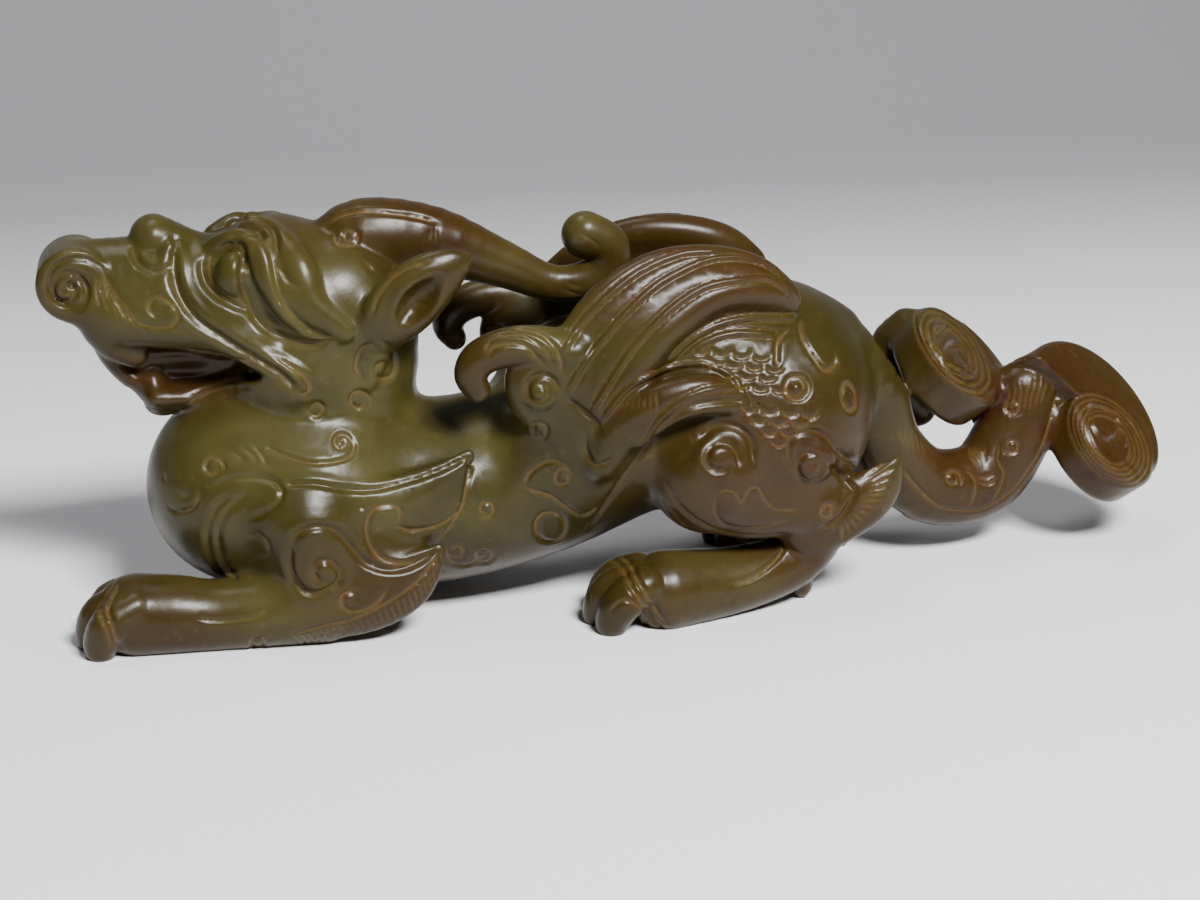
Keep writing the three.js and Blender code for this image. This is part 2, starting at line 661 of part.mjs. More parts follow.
// Shrinks the edges that matter least, until no more than target faces are left.
function simplify({ places, faces }, target) {
  const planes = places.map(() => new Float64Array(10));
  const around = places.map(() => new Set());
  const stamps = new Int32Array(places.length);
  const normalOf = (ids, moved, place) => {
    const [a, b, c] = ids.map((id) => (moved.includes(id) ? place : places[id]));
    return crossed(minus(b, a), minus(c, a));
  };
  faces.forEach((ids, f) => {
    const normal = normalOf(ids, [], null);
    const size = Math.hypot(...normal) || 1e-12;
    const plane = [...normal.map((value) => value / size), -dot(normal, places[ids[0]]) / size];
    for (const id of ids) {
      around[id].add(f);
      let m = 0;
      for (let r = 0; r < 4; r++) {
        for (let c = r; c < 4; c++) planes[id][m++] += (plane[r] * plane[c] * size) / 2;
      }
    }
  });
  const neighbours = (id) => {
    const found = new Set([...around[id]].flatMap((f) => faces[f]));
    found.delete(id);
    return found;
  };
  const queue = new CheapestFirst();
  const offer = (a, b) => {
    const q = planes[a].map((value, n) => value + planes[b][n]);
    const place = bestPlace(q, places[a], places[b]);
    const edge = minus(places[b], places[a]);
    const cost = planeError(q, place) + 1e-4 * dot(edge, edge);
    queue.push({ a, b, q, place, cost, stamp: stamps[a] + stamps[b] });
  };
  const folds = (a, b, place) => {
    for (const f of new Set([...around[a], ...around[b]])) {
      const ids = faces[f];
      if (ids.includes(a) && ids.includes(b)) continue;
      const before = normalOf(ids, [], null);
      const after = normalOf(ids, [a, b], place);
      const sizes = Math.hypot(...before) * Math.hypot(...after);
      if (Math.hypot(...after) < 1e-3 || dot(before, after) < 0.35 * sizes) return true;
    }
    return false;
  };
  places.forEach((_, id) => neighbours(id).forEach((other) => other > id && offer(id, other)));
  let left = faces.length;
  while (left > target && queue.entries.length > 0) {
    const { a, b, q, place, stamp } = queue.pop();
    if (around[a].size === 0 || around[b].size === 0 || stamp !== stamps[a] + stamps[b]) continue;
    const near = neighbours(a);
    if (!near.has(b)) continue;
    const shared = [...neighbours(b)].filter((id) => near.has(id));
    if (shared.length !== 2 || folds(a, b, place)) continue;
    for (const f of around[b]) {
      if (faces[f].includes(a)) {
        faces[f].forEach((id) => id !== b && around[id].delete(f));
        faces[f] = [];
        left--;
      } else {
        faces[f] = faces[f].map((id) => (id === b ? a : id));
        around[a].add(f);
      }
    }
    around[b].clear();
    places[a] = place;
    planes[a] = q;
    stamps[a] += stamps[b] + 1;
    neighbours(a).forEach((other) => offer(a, other));
  }
  return { places, faces: faces.filter((ids) => ids.length === 3) };
}

// A closed mesh that joins and cuts can work on.
function solidOf(wasm, geometry) {
  const bare = geometry.clone();
  bare.deleteAttribute("normal");
  bare.deleteAttribute("uv");
  const merged = mergeVertices(bare);
  const vertProperties = new Float32Array(merged.attributes.position.array);
  const triVerts = new Uint32Array(merged.index.array);
  return new wasm.Manifold(new wasm.Mesh({ numProp: 3, vertProperties, triVerts }));
}

function geometryOf({ numProp, vertProperties, triVerts }) {
  const places = [];
  for (let i = 0; i < vertProperties.length; i += numProp) places.push(...vertProperties.slice(i, i + 3));
  const geometry = new THREE.BufferGeometry();
  geometry.setAttribute("position", new THREE.Float32BufferAttribute(places, 3));
  geometry.setIndex(Array.from(triVerts));
  return geometry;
}

function meshGeometry({ places, faces }) {
  const geometry = new THREE.BufferGeometry();
  geometry.setAttribute("position", new THREE.Float32BufferAttribute(places.flat(), 3));
  geometry.setIndex(faces.flat());
  return geometry;
}

const wasm = await Module();
wasm.setup();

carve();
const shape = simplify(surfaceOf(sampleGrid(GRID_STEP * UNIT)), TRIANGLES);
for (const place of shape.places) {
  if (Math.abs(place[2]) < GRID_STEP * UNIT * 0.1) place[2] = 0;
}
const rough = solidOf(wasm, meshGeometry(shape));
const room = LENGTH * 1.3;
const ground = new THREE.BoxGeometry(room, room, room).translate(0, 0, -room / 2);
const stone = geometryOf(rough.subtract(solidOf(wasm, ground)).getMesh());

// The origin is on the ground, midway along the carving's length and across its width.
stone.computeBoundingBox();
const middle = stone.boundingBox.getCenter(new THREE.Vector3());
stone.translate(-middle.x, -middle.y, -stone.boundingBox.min.z);
stone.computeVertexNormals();

const jade = new THREE.MeshStandardMaterial({ name: "jade", color: 0x6b7040, roughness: 0.3 });
const beast = new THREE.Mesh(stone, jade);
beast.name = "jade_beast";
const carving = new THREE.Group();
carving.add(beast);

export default carving;
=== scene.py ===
"""A crouching winged beast carved from one piece of olive-green jade.

The stone is built as a solid from soft rounded forms, on a fine grid, and its engraving is then
pressed into the surface. The places of the engraved lines are read off a side drawing: each line
is drawn in the picture's own pixels, and is laid on the stone along the line of sight.
"""

import logging
import math
from collections.abc import Iterable, Sequence
from dataclasses import dataclass, field
from enum import Enum
from typing import ClassVar, Protocol

import bmesh
import bpy
import numpy as np
import openvdb
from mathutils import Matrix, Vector


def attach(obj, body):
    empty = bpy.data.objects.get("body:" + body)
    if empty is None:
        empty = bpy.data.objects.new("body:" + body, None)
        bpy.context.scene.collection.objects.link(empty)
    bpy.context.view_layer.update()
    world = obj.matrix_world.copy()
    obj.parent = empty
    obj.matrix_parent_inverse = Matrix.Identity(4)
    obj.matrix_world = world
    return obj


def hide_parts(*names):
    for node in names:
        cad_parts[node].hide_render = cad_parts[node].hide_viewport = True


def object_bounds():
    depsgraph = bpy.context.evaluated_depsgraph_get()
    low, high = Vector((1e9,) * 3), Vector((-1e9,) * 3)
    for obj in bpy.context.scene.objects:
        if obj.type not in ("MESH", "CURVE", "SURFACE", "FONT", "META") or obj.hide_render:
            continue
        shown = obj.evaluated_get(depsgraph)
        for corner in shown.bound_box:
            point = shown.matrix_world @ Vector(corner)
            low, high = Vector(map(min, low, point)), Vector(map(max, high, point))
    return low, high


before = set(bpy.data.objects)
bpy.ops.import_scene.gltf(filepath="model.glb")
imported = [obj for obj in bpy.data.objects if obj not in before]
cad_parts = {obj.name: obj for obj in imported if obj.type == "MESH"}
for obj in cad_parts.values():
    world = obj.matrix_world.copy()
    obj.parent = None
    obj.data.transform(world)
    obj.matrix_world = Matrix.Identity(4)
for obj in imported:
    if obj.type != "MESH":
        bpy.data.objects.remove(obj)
CAD_LOW, CAD_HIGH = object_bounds()

LOG = logging.getLogger("jade_beast")

Row = Sequence[float]
Pixels = Sequence[tuple[float, float]]
Places = np.ndarray
Tree = bpy.types.NodeTree
Socket = bpy.types.NodeSocket
Colour = tuple[float, float, float, float]

FAR_AWAY = 1000.0
DRAWN_LENGTH = 123.88  # length of the beast, in the millimetres that the forms below are drawn in
UNIT = (CAD_HIGH.x - CAD_LOW.x) / DRAWN_LENGTH  # metres for each drawn millimetre

# How softly the forms run into each other, in millimetres.
SOFT = 3.2
FIRM = 1.4
CRISP = 0.5


class Side(Enum):
    """The two sides of the beast: the near one faces the picture."""

    NEAR = -1
    FAR = 1


class Mark(Enum):
    """The ways in which a line is worked into the stone."""

    GROOVE = "a cut line between two soft lips"
    LINE = "a fine scratched line"
    RIDGE = "a raised rounded band with a fine cut along each edge"
    BOSS = "a raised dome with a cut ring round it"
    PIT = "a drilled hollow"


def smooth_rows(rows: Sequence[Row], steps: int) -> Places:
    """Puts a smooth curve through rows of numbers.

    Args:
        rows: the rows that the curve goes through.
        steps: how many steps the curve takes from each row to the next.

    Returns:
        An array with one row for each point of the curve.
    """
    given = np.asarray(rows, float)
    last = len(given) - 1
    share = np.arange(steps)[:, None] / steps
    parts = []
    for i in range(last):
        a, b, c, d = (given[max(i - 1, 0)], given[i], given[i + 1], given[min(i + 2, last)])
        slope = (c - a) * share + (2 * a - 5 * b + 4 * c - d) * share**2
        parts.append(b + (slope + (3 * b - a - 3 * c + d) * share**3) / 2)
    parts.append(given[-1:])
    return np.concatenate(parts)


def length_of(vectors: Places) -> np.ndarray:
    """Lengths of the vectors in an array's last axis."""
    return np.sqrt(np.einsum("...i,...i->...", vectors, vectors))


class Form:
    """A rounded mass that is joined to the stone, or cut from it.

    Attributes:
        centre: the middle of a ball that holds the form.
        reach: the radius of that ball.
        blend: how softly the form runs into its neighbours.
        sign: 1 for a form that is joined on, -1 for one that is cut away.
    """

    centre: Places
    reach: float
    blend: float
    sign: int = 1

    def distance(self, points: Places) -> np.ndarray:
        """Distance from points to the form's surface, less than 0 inside it."""
        raise NotImplementedError


class Strand(Form):
    """A limb whose radius changes along a smooth path."""

    def __init__(self, rows: Sequence[Row], blend: float, width: float = 1, sign: int = 1) -> None:
        """Lays the limb.

        Args:
            rows: [x, y, z, radius] along the limb.
            blend: how softly it joins its neighbours.
            width: its half width across the beast, as a share of its radius.
            sign: 1 to join it on, -1 to cut it away.
        """
        path = smooth_rows(rows, 4)
        lowest, highest = path[:, :3].min(0), path[:, :3].max(0)
        self.centre = (lowest + highest) / 2
        self.reach = float((length_of(path[:, :3] - self.centre) + path[:, 3] * max(1, width)).max())
        self.blend, self.sign, self.width = blend, sign, width
        self.joints = (path / (1, width, 1, 1)).astype(np.float32)

    def distance(self, points: Places) -> np.ndarray:
        """Takes the limb as rounded cones, end to end.

        Args:
            points: the points.

        Returns:
            Distances from them to the limb.
        """
        x, y, z = points[:, 0], points[:, 1] / np.float32(self.width), points[:, 2]
        least = np.full(len(points), FAR_AWAY, np.float32)
        for (ax, ay, az, ar), (bx, by, bz, br) in zip(self.joints, self.joints[1:]):
            ux, uy, uz = bx - ax, by - ay, bz - az
            px, py, pz = x - ax, y - ay, z - az
            share = np.clip((px * ux + py * uy + pz * uz) / (ux * ux + uy * uy + uz * uz), 0, 1)
            px -= share * ux
            py -= share * uy
            pz -= share * uz
            np.minimum(least, np.sqrt(px * px + py * py + pz * pz) - (ar + share * (br - ar)), out=least)
        return least * min(1.0, self.width)


class Ball(Form):
    """An egg-shaped mass with its own radius along each axis."""

    def __init__(self, place: Row, radii: Row, blend: float, sign: int = 1) -> None:
        """Places the egg.

        Args:
            place: its middle.
            radii: its radius along X, Y and Z.
            blend: how softly it joins its neighbours.
            sign: 1 to join it on, -1 to cut it away.
        """
        self.centre = np.asarray(place, float)
        self.radii = np.asarray(radii, np.float32)
        self.reach = float(max(radii))
        self.blend, self.sign = blend, sign

    def distance(self, points: Places) -> np.ndarray:
        """Takes a near value, which is true at the egg's surface.

        Args:
            points: the points.

        Returns:
            Distances from them to the egg.
        """
        share = (points - self.centre.astype(np.float32)) / self.radii
        near = length_of(share)
        return near * (near - 1) / np.maximum(length_of(share / self.radii), 1e-6)


@dataclass
class Swelling:
    """Where a rolled strip winds onto its drum.

    Attributes:
        height: how far the rim stands out where the strip meets it.
        start: where that is, in degrees round the drum.
        reach: over how many degrees the rim comes back, and which way round.
        bend: how fast it comes back.
    """

    height: float = 0
    start: float = 0
    reach: float = 1
    bend: float = 1


class Roll(Form):
    """A rolled strip seen end on: a drum with a spiral step in both faces."""

    def __init__(
        self,
        place: Row,
        axis: Row,
        radius: float,
        width: float,
        blend: float,
        turns: float,
        step: float,
        swelling: Swelling | None = None,
    ) -> None:
        """Winds the strip.

        Args:
            place: the drum's middle.
            axis: the direction of the drum's axis.
            radius: the drum's radius.
            width: the strip's width.
            blend: how softly the drum joins its neighbours.
            turns: how often the strip goes round.
            step: the depth of the spiral step.
            swelling: where the strip comes onto the drum.
        """
        self.centre = np.asarray(place, float)
        self.swelling = swelling or Swelling()
        along = np.asarray(axis, float)
        self.along = along / np.linalg.norm(along)
        right = np.cross((0, 0, 1), self.along)
        self.right = right / np.linalg.norm(right)
        self.up = np.cross(self.along, self.right)
        self.radius, self.half, self.turns, self.step = radius, width / 2, turns, step
        self.reach = math.hypot(radius + self.swelling.height, self.half)
        self.blend = blend

    def flat(self, points: Places) -> tuple[np.ndarray, np.ndarray, np.ndarray]:
        """Measures points as the drum's own axis sees them.

        Args:
            points: the points.

        Returns:
            Distances from the axis, angles round it and places along it.
        """
        gap = points - self.centre
        across, high = gap @ self.right, gap @ self.up
        return np.hypot(across, high), np.arctan2(high, across), gap @ self.along

    def distance(self, points: Places) -> np.ndarray:
        """Measures the drum with its swelling rim and its spiral step.

        Args:
            points: the points.

        Returns:
            Distances from them to the drum.
        """
        out, angle, along = self.flat(points)
        edge = min(self.radius / self.turns / 3, self.half / 2)
        sign = math.copysign(1, self.swelling.reach)
        past = sign * (self.swelling.start - np.degrees(angle)) % 360
        left = np.maximum(0, 1 - past / abs(self.swelling.reach))
        rim = self.radius + self.swelling.height * left**self.swelling.bend
        phase = out * self.turns / self.radius - angle / (2 * math.pi)
        valley = np.abs(phase - np.round(phase)) * 2
        sunk = np.where(out < self.radius, self.step * (1 - np.minimum(1, valley * 2.5)), 0)
        beside = out - rim + edge
        beyond = np.abs(along) - self.half + edge + sunk
        outside = np.hypot(np.maximum(beside, 0), np.maximum(beyond, 0))
        return (np.minimum(np.maximum(beside, beyond), 0) + outside - edge).astype(np.float32)


def mirrored(rows: Iterable[Row], side: Side) -> list[list[float]]:
    """Rows of [x, y, ...] with y on the side asked for."""
    return [[row[0], row[1] * side.value, *row[2:]] for row in rows]


@dataclass
class Volume:
    """Distances to the stone's surface on a regular grid.

    Attributes:
        values: distances, less than 0 inside the stone.
        low: the place of the first grid point.
        step: the gap between grid points.
    """

    values: np.ndarray
    low: Places
    step: float

    def at(self, points: Places) -> np.ndarray:
        """Reads the grid between its points.

        Args:
            points: any points.

        Returns:
            The distances there.
        """
        place = (points - self.low) / self.step
        place = np.clip(place, 0, np.array(self.values.shape) - 1.001)
        whole = place.astype(int)
        part = place - whole
        total = np.zeros(len(points))
        for corner in np.ndindex(2, 2, 2):
            weight = np.prod(np.where(corner, part, 1 - part), axis=1)
            i, j, k = (whole + corner).T
            total += weight * self.values[i, j, k]
        return total

    def slope(self, points: Places) -> Places:
        """Finds which way is straight out of the stone.

        Args:
            points: points near its surface.

        Returns:
            A direction of length 1 for each.
        """
        gap = self.step * 1.2
        sides = [self.at(points + gap * axis) - self.at(points - gap * axis) for axis in np.eye(3)]
        slope = np.stack(sides, 1)
        return slope / np.maximum(length_of(slope), 1e-9)[:, None]

    def surface(self) -> tuple[Places, np.ndarray]:
        """The stone's surface as a mesh.

        Returns:
            The places of its corners, and its faces as rows of four corner numbers.
        """
        grid = openvdb.FloatGrid(float(self.values.max()))
        grid.copyFromArray(self.values)
        points, quads = grid.convertToQuads(isovalue=0.0)
        return points.astype(float) * self.step + self.low, quads.astype(int)


class Sculpture:
    """All the forms of the stone, in the order in which they are joined and cut."""

    BLOCK = 8  # grid steps along a coarse block
    TILE = 6  # blocks along a tile, which is worked out in one go
    SHELL = 1.5  # how far from the surface the grid is still worked out, in millimetres
    CORNER = 1.0875  # more than from a block's middle to its corner, as a share of its side
    SLACK = 0.4  # more room than that, in millimetres, because soft joins make distances too short

    def __init__(self) -> None:
        """Starts with no forms."""
        self.forms: list[Form] = []

    def add(self, forms: Iterable[Form]) -> None:
        """Adds forms after those that are there."""
        self.forms.extend(forms)

    def depth(self, points: Places, forms: Sequence[Form] | None = None) -> np.ndarray:
        """Works out how far points are from the surface of the stone.

        Args:
            points: the points, in drawn millimetres.
            forms: the forms that are near enough to matter, or None for all.

        Returns:
            The distances, less than 0 inside the stone.
        """
        points = points.astype(np.float32)
        depth = np.full(len(points), FAR_AWAY, np.float32)
        for form in self.forms if forms is None else forms:
            away = length_of(points - form.centre.astype(np.float32)) - form.reach
            near = np.flatnonzero(away <= form.blend + form.sign * depth)
            if len(near) == 0:
                continue
            other = form.distance(points[near])
            mine = depth[near]
            soft = np.maximum(form.blend - np.abs(form.sign * other - mine), 0)
            joined = form.sign * np.minimum(form.sign * mine, other)
            depth[near] = joined - form.sign * soft * soft / (4 * form.blend)
        return np.maximum(depth, -points[:, 2])

    def sample(self, step: float) -> Volume:
        """Works out the distances on a grid, finely only near the surface.

        Args:
            step: the gap between grid points, in drawn millimetres.

        Returns:
            The grid of distances.
        """
        solid = [form for form in self.forms if form.sign > 0]
        low = np.min([form.centre - form.reach for form in solid], 0) - step
        high = np.max([form.centre + form.reach for form in solid], 0) + step
        low[2] = -2 * step - step / 2
        side = self.BLOCK * step
        counts = np.ceil((high - low) / side).astype(int)
        blocks = np.stack(np.meshgrid(*map(np.arange, counts), indexing="ij"), -1).reshape(-1, 3)
        middle = low + (blocks + 0.5) * side - step / 2
        rough = self.depth(middle)
        values = np.broadcast_to(np.sign(rough).reshape(*counts, 1, 1, 1), (*counts, *[self.BLOCK] * 3))
        values = values.transpose(0, 3, 1, 4, 2, 5).reshape(counts * self.BLOCK).astype(np.float32)
        values *= self.SHELL
        offsets = np.array(list(np.ndindex(*[self.BLOCK] * 3)))
        near = np.abs(rough) < self.CORNER * side + self.SLACK
        names = np.ravel_multi_index((blocks[near] // self.TILE).T, counts)
        order = np.argsort(names, kind="stable")
        starts = np.flatnonzero(np.diff(names[order], prepend=-1))
        for group in np.split(blocks[near][order], starts[1:]):
            corner = group[:, None] * self.BLOCK + offsets
            places = low + corner.reshape(-1, 3) * step
            heart = (places.min(0) + places.max(0)) / 2
            room = float(np.linalg.norm(places.max(0) - heart)) + self.SHELL + 1
            close = [f for f in self.forms if np.linalg.norm(f.centre - heart) < f.reach + f.blend + room]
            i, j, k = corner.reshape(-1, 3).T
            values[i, j, k] = np.clip(self.depth(places, close), -self.SHELL, self.SHELL)
        return Volume(values, low, step)


@dataclass(frozen=True)
class Viewpoint:
    """The place that the picture is taken from, in drawn millimetres.

    Attributes:
        azimuth: degrees round the beast, 0 looking square at its near side.
        elevation: degrees above the level.
        field_of_view: across the picture, in degrees.
        target: the point in the middle of the picture.
        distance: from that point to the eye.
        picture: width and height of the picture, in pixels.
    """

    azimuth: float = -10
    elevation: float = 18
    field_of_view: float = 27
    target: tuple[float, float, float] = (0, 0, 15.3)
    distance: float = 268
    picture: tuple[int, int] = (1200, 900)

    @property
    def back(self) -> Places:
        """The direction from the beast to the eye."""
        turn, rise = math.radians(self.azimuth), math.radians(self.elevation)
        return np.array([math.sin(turn) * math.cos(rise), -math.cos(turn) * math.cos(rise), math.sin(rise)])

    @property
    def eye(self) -> Places:
        """The place of the eye."""
        return np.array(self.target) + self.back * self.distance

    def rays(self, pixels: Places) -> Places:
        """Finds the lines of sight.

        Args:
            pixels: places in the picture.

        Returns:
            A direction of length 1 for each, from the eye.
        """
        turn = math.radians(self.azimuth)
        right = np.array([math.cos(turn), math.sin(turn), 0])
        above = np.cross(self.back, right)
        focal = self.picture[0] / 2 / math.tan(math.radians(self.field_of_view / 2))
        off = (pixels - np.array(self.picture) / 2) / focal
        rays = off[:, :1] * right - off[:, 1:] * above - self.back
        return rays / length_of(rays)[:, None]


@dataclass
class Stroke:
    """One engraved line, drawn in the picture's pixels.

    Attributes:
        pixels: points of the line.
        mark: how it is worked.
        width: of the cut or the band, in millimetres.
        depth: how deep it is cut, or how high the band stands, in millimetres.
        far_shift: how far along the beast its twin on the far side sits, or None for no twin.
    """

    STEPS: ClassVar[int] = 12  # steps from each drawn point to the next

    pixels: Pixels
    mark: Mark = Mark.GROOVE
    width: float = 0.5
    depth: float = 0.24
    far_shift: float | None = 0

    def drawn(self) -> Places:
        """The line as close points along a smooth curve."""
        rows = np.asarray(self.pixels, float)
        if len(rows) < 3:
            spans = [np.linspace(a, b, self.STEPS, endpoint=False) for a, b in zip(rows, rows[1:])]
            return np.concatenate([*spans, rows[-1:]])
        return smooth_rows(rows, self.STEPS)


def spiral(
    centre: Row,
    inner: float,
    outer: float,
    start: float,
    turns: float,
    squash: float = 1,
    tilt: float = 0,
) -> Pixels:
    """Draws a spiral from its eye outwards.

    Args:
        centre: its middle, in pixels.
        inner: the radius where it starts.
        outer: the radius where it ends.
        start: the angle where it ends, in degrees, 0 to the right and 90 down.
        turns: how often it goes round, less than 0 to turn the other way.
        squash: its height as a share of its width, before it is tilted.
        tilt: degrees that its wide axis is turned, clockwise.

    Returns:
        Points along the spiral.
    """
    count = max(8, int(abs(turns) * 14))
    share = np.linspace(0, 1, count)
    angle = np.radians(start) - (1 - share) * turns * 2 * math.pi
    radius = inner + (outer - inner) * share
    across, down = radius * np.cos(angle), radius * np.sin(angle) * squash
    turn = math.radians(tilt)
    x = centre[0] + across * math.cos(turn) - down * math.sin(turn)
    y = centre[1] + across * math.sin(turn) + down * math.cos(turn)
    return list(zip(x, y))


def ring(centre: Row, radius: float, squash: float = 1, tilt: float = 0) -> Pixels:
    """Draws a closed ring, as a spiral that doesn't grow."""
    return spiral(centre, radius, radius, 0, 1.03, squash, tilt)


def fan(first: Pixels, last: Pixels, count: int) -> list[Pixels]:
    """Lines that lead over from one line to another.

    Args:
        first: the first line.
        last: the last line, with as many points.
        count: how many lines there are, with the first and the last.

    Returns:
        The lines.
    """
    start, end = np.asarray(first, float), np.asarray(last, float)
    return [(start + (end - start) * i / (count - 1)).tolist() for i in range(count)]


def hatching(start: Pixels, end: Pixels, count: int) -> list[Pixels]:
    """Draws short straight lines from evenly spaced points of one line to points of another.

    Args:
        start: the line that they start on.
        end: the line that they end on.
        count: how many there are.

    Returns:
        The short lines.
    """
    shares = np.linspace(0, 1, count)
    ends = [[at_share(line, share) for share in shares] for line in (start, end)]
    return [[a, b] for a, b in zip(*ends)]


def at_share(line: Pixels, share: float) -> tuple[float, float]:
    """Finds a point along a line.

    Args:
        line: the line.
        share: how far along it, from 0 to 1.

    Returns:
        The point.
    """
    rows = np.asarray(line, float)
    travelled = np.concatenate([[0], np.cumsum(length_of(np.diff(rows, axis=0)))])
    return tuple(float(np.interp(share * travelled[-1], travelled, rows[:, axis])) for axis in (0, 1))


def worked(
    lines: Iterable[Pixels],
    mark: Mark = Mark.GROOVE,
    width: float = 0.5,
    depth: float = 0.24,
    far_shift: float | None = 0,
) -> list[Stroke]:
    """Works several lines in the same way.

    Args:
        lines: the lines, in pixels.
        mark: how they are worked.
        width: of the cut or the band, in millimetres.
        depth: of the cut, or the height of the band, in millimetres.
        far_shift: how far along the beast the twins on the far side sit.

    Returns:
        The strokes.
    """
    return [Stroke(line, mark, width, depth, far_shift) for line in lines]


@dataclass(frozen=True)
class Patch:
    """A place where the stone keeps its brown skin.

    Attributes:
        place: its middle.
        radii: how far it reaches along each axis, in millimetres.
        strength: how brown it is, from 0 to 1.
    """

    place: tuple[float, float, float]
    radii: tuple[float, float, float]
    strength: float = 0.9

    def share(self, points: Places) -> np.ndarray:
        """How brown the patch makes each point, fading out over its edge."""
        return self.strength * np.clip(1.6 - length_of((points - self.place) / self.radii), 0, 1)


class Part(Protocol):
    """A part of the beast: its forms, and the skin that lies on it."""

    def forms(self) -> list[Form]:
        """The forms that are joined into the stone."""

    def skin(self) -> list[Patch]:
        """The patches of brown skin."""


@dataclass
class Trunk:
    """The body from chest to rump, and the neck.

    Attributes:
        chest: the radius of the chest.
        waist: the radius of the waist.
        rump: the radius of the rump.
        neck: the radius of the neck.
        fullness: half the width of the body, as a share of half its height.
    """

    chest: float = 10.5
    waist: float = 9.8
    rump: float = 11.2
    neck: float = 7.9
    fullness: float = 1.06

    def forms(self) -> list[Form]:
        """The forms of the body and the neck."""
        spine = [
            [-37.5, 0, 13.9, self.chest],
            [-28, 0, 12.6, self.chest],
            [-17, 0, 12, self.waist],
            [-7, 0, 14, self.waist - 0.3],
            [3, 0, 17.8, self.waist - 0.5],
            [12, 0, 21, self.rump - 0.8],
            [18.3, 0, 22, self.rump],
        ]
        neck = [
            [-34, 0, 17, self.neck + 1],
            [-29, 0, 22, self.neck],
            [-27, 0, 27, self.neck - 0.2],
            [-27.6, 0, 32, self.neck - 0.4],
        ]
        return [Strand(spine, SOFT, self.fullness), Strand(neck, SOFT, 0.98)]

    def strokes(self) -> list[Stroke]:
        """The lines on the neck, the chest and the belly."""
        nape_tail = [(351, 438), (354, 446), (350, 456), (337, 461), (314, 463), (288, 457), (268, 448)]
        hair = [
            [(228, 450), (238, 456), (248, 463)],
            [(242, 447), (251, 454), (259, 463)],
            [(254, 447), (262, 455), (268, 466)],
        ]
        chest_arc = [(167.6, 506), (176, 512), (190.5, 509), (198, 500), (199, 492)]
        chest_marks = [
            [(165, 470), (163, 476), (166, 483)],
            [(178, 470), (181, 474), (179, 479)],
            [(187, 473), (193, 476), (195, 483)],
            [(176, 492), (184, 497), (190, 494)],
        ]
        belly_left = spiral((457, 551), 3, 10, 200, 1.2)
        belly_right = spiral((484, 556), 3, 9, -20, -1.2)
        belly_link = [(448, 548), (450, 560), (462, 566), (475, 563), (484, 556)]
        paisley_top = [(524, 488), (530, 473), (550, 461), (572, 467)]
        paisley_low = [(524, 488), (550, 495), (563, 504), (583, 515), (600, 504)]
        hook = [(586, 431), (585, 448), (591, 461), (602, 465.5), (614, 457)]
        return [
            *worked([spiral((341.5, 442.6), 3, 10, 20, 1.3), nape_tail], width=0.45),
            *worked(hair, Mark.LINE, 0.35, 0.14),
            *worked(chest_marks, Mark.LINE, 0.4, 0.16),
            *worked([spiral((213.5, 467), 5, 11, 40, 1.2), chest_arc], width=0.45),
            *worked([spiral((486, 509), 4, 9, 120, 1.2), belly_left, belly_right, belly_link], width=0.5),
            *worked([spiral((563, 478), 4, 10, 0, 1.3), paisley_top, paisley_low], width=0.5),
            *worked([ring((550, 527), 15), spiral((539, 429.7), 4, 9, 90, 1.2)], width=0.5),
            Stroke(hook, Mark.GROOVE, 0.7, 0.3),
        ]

    def skin(self) -> list[Patch]:
        """Thin skin along the belly and over the rump."""
        return [Patch((12, 0, 32), (9, 10, 6), 0.45), Patch((-14, -8, 4), (12, 8, 4), 0.5)]


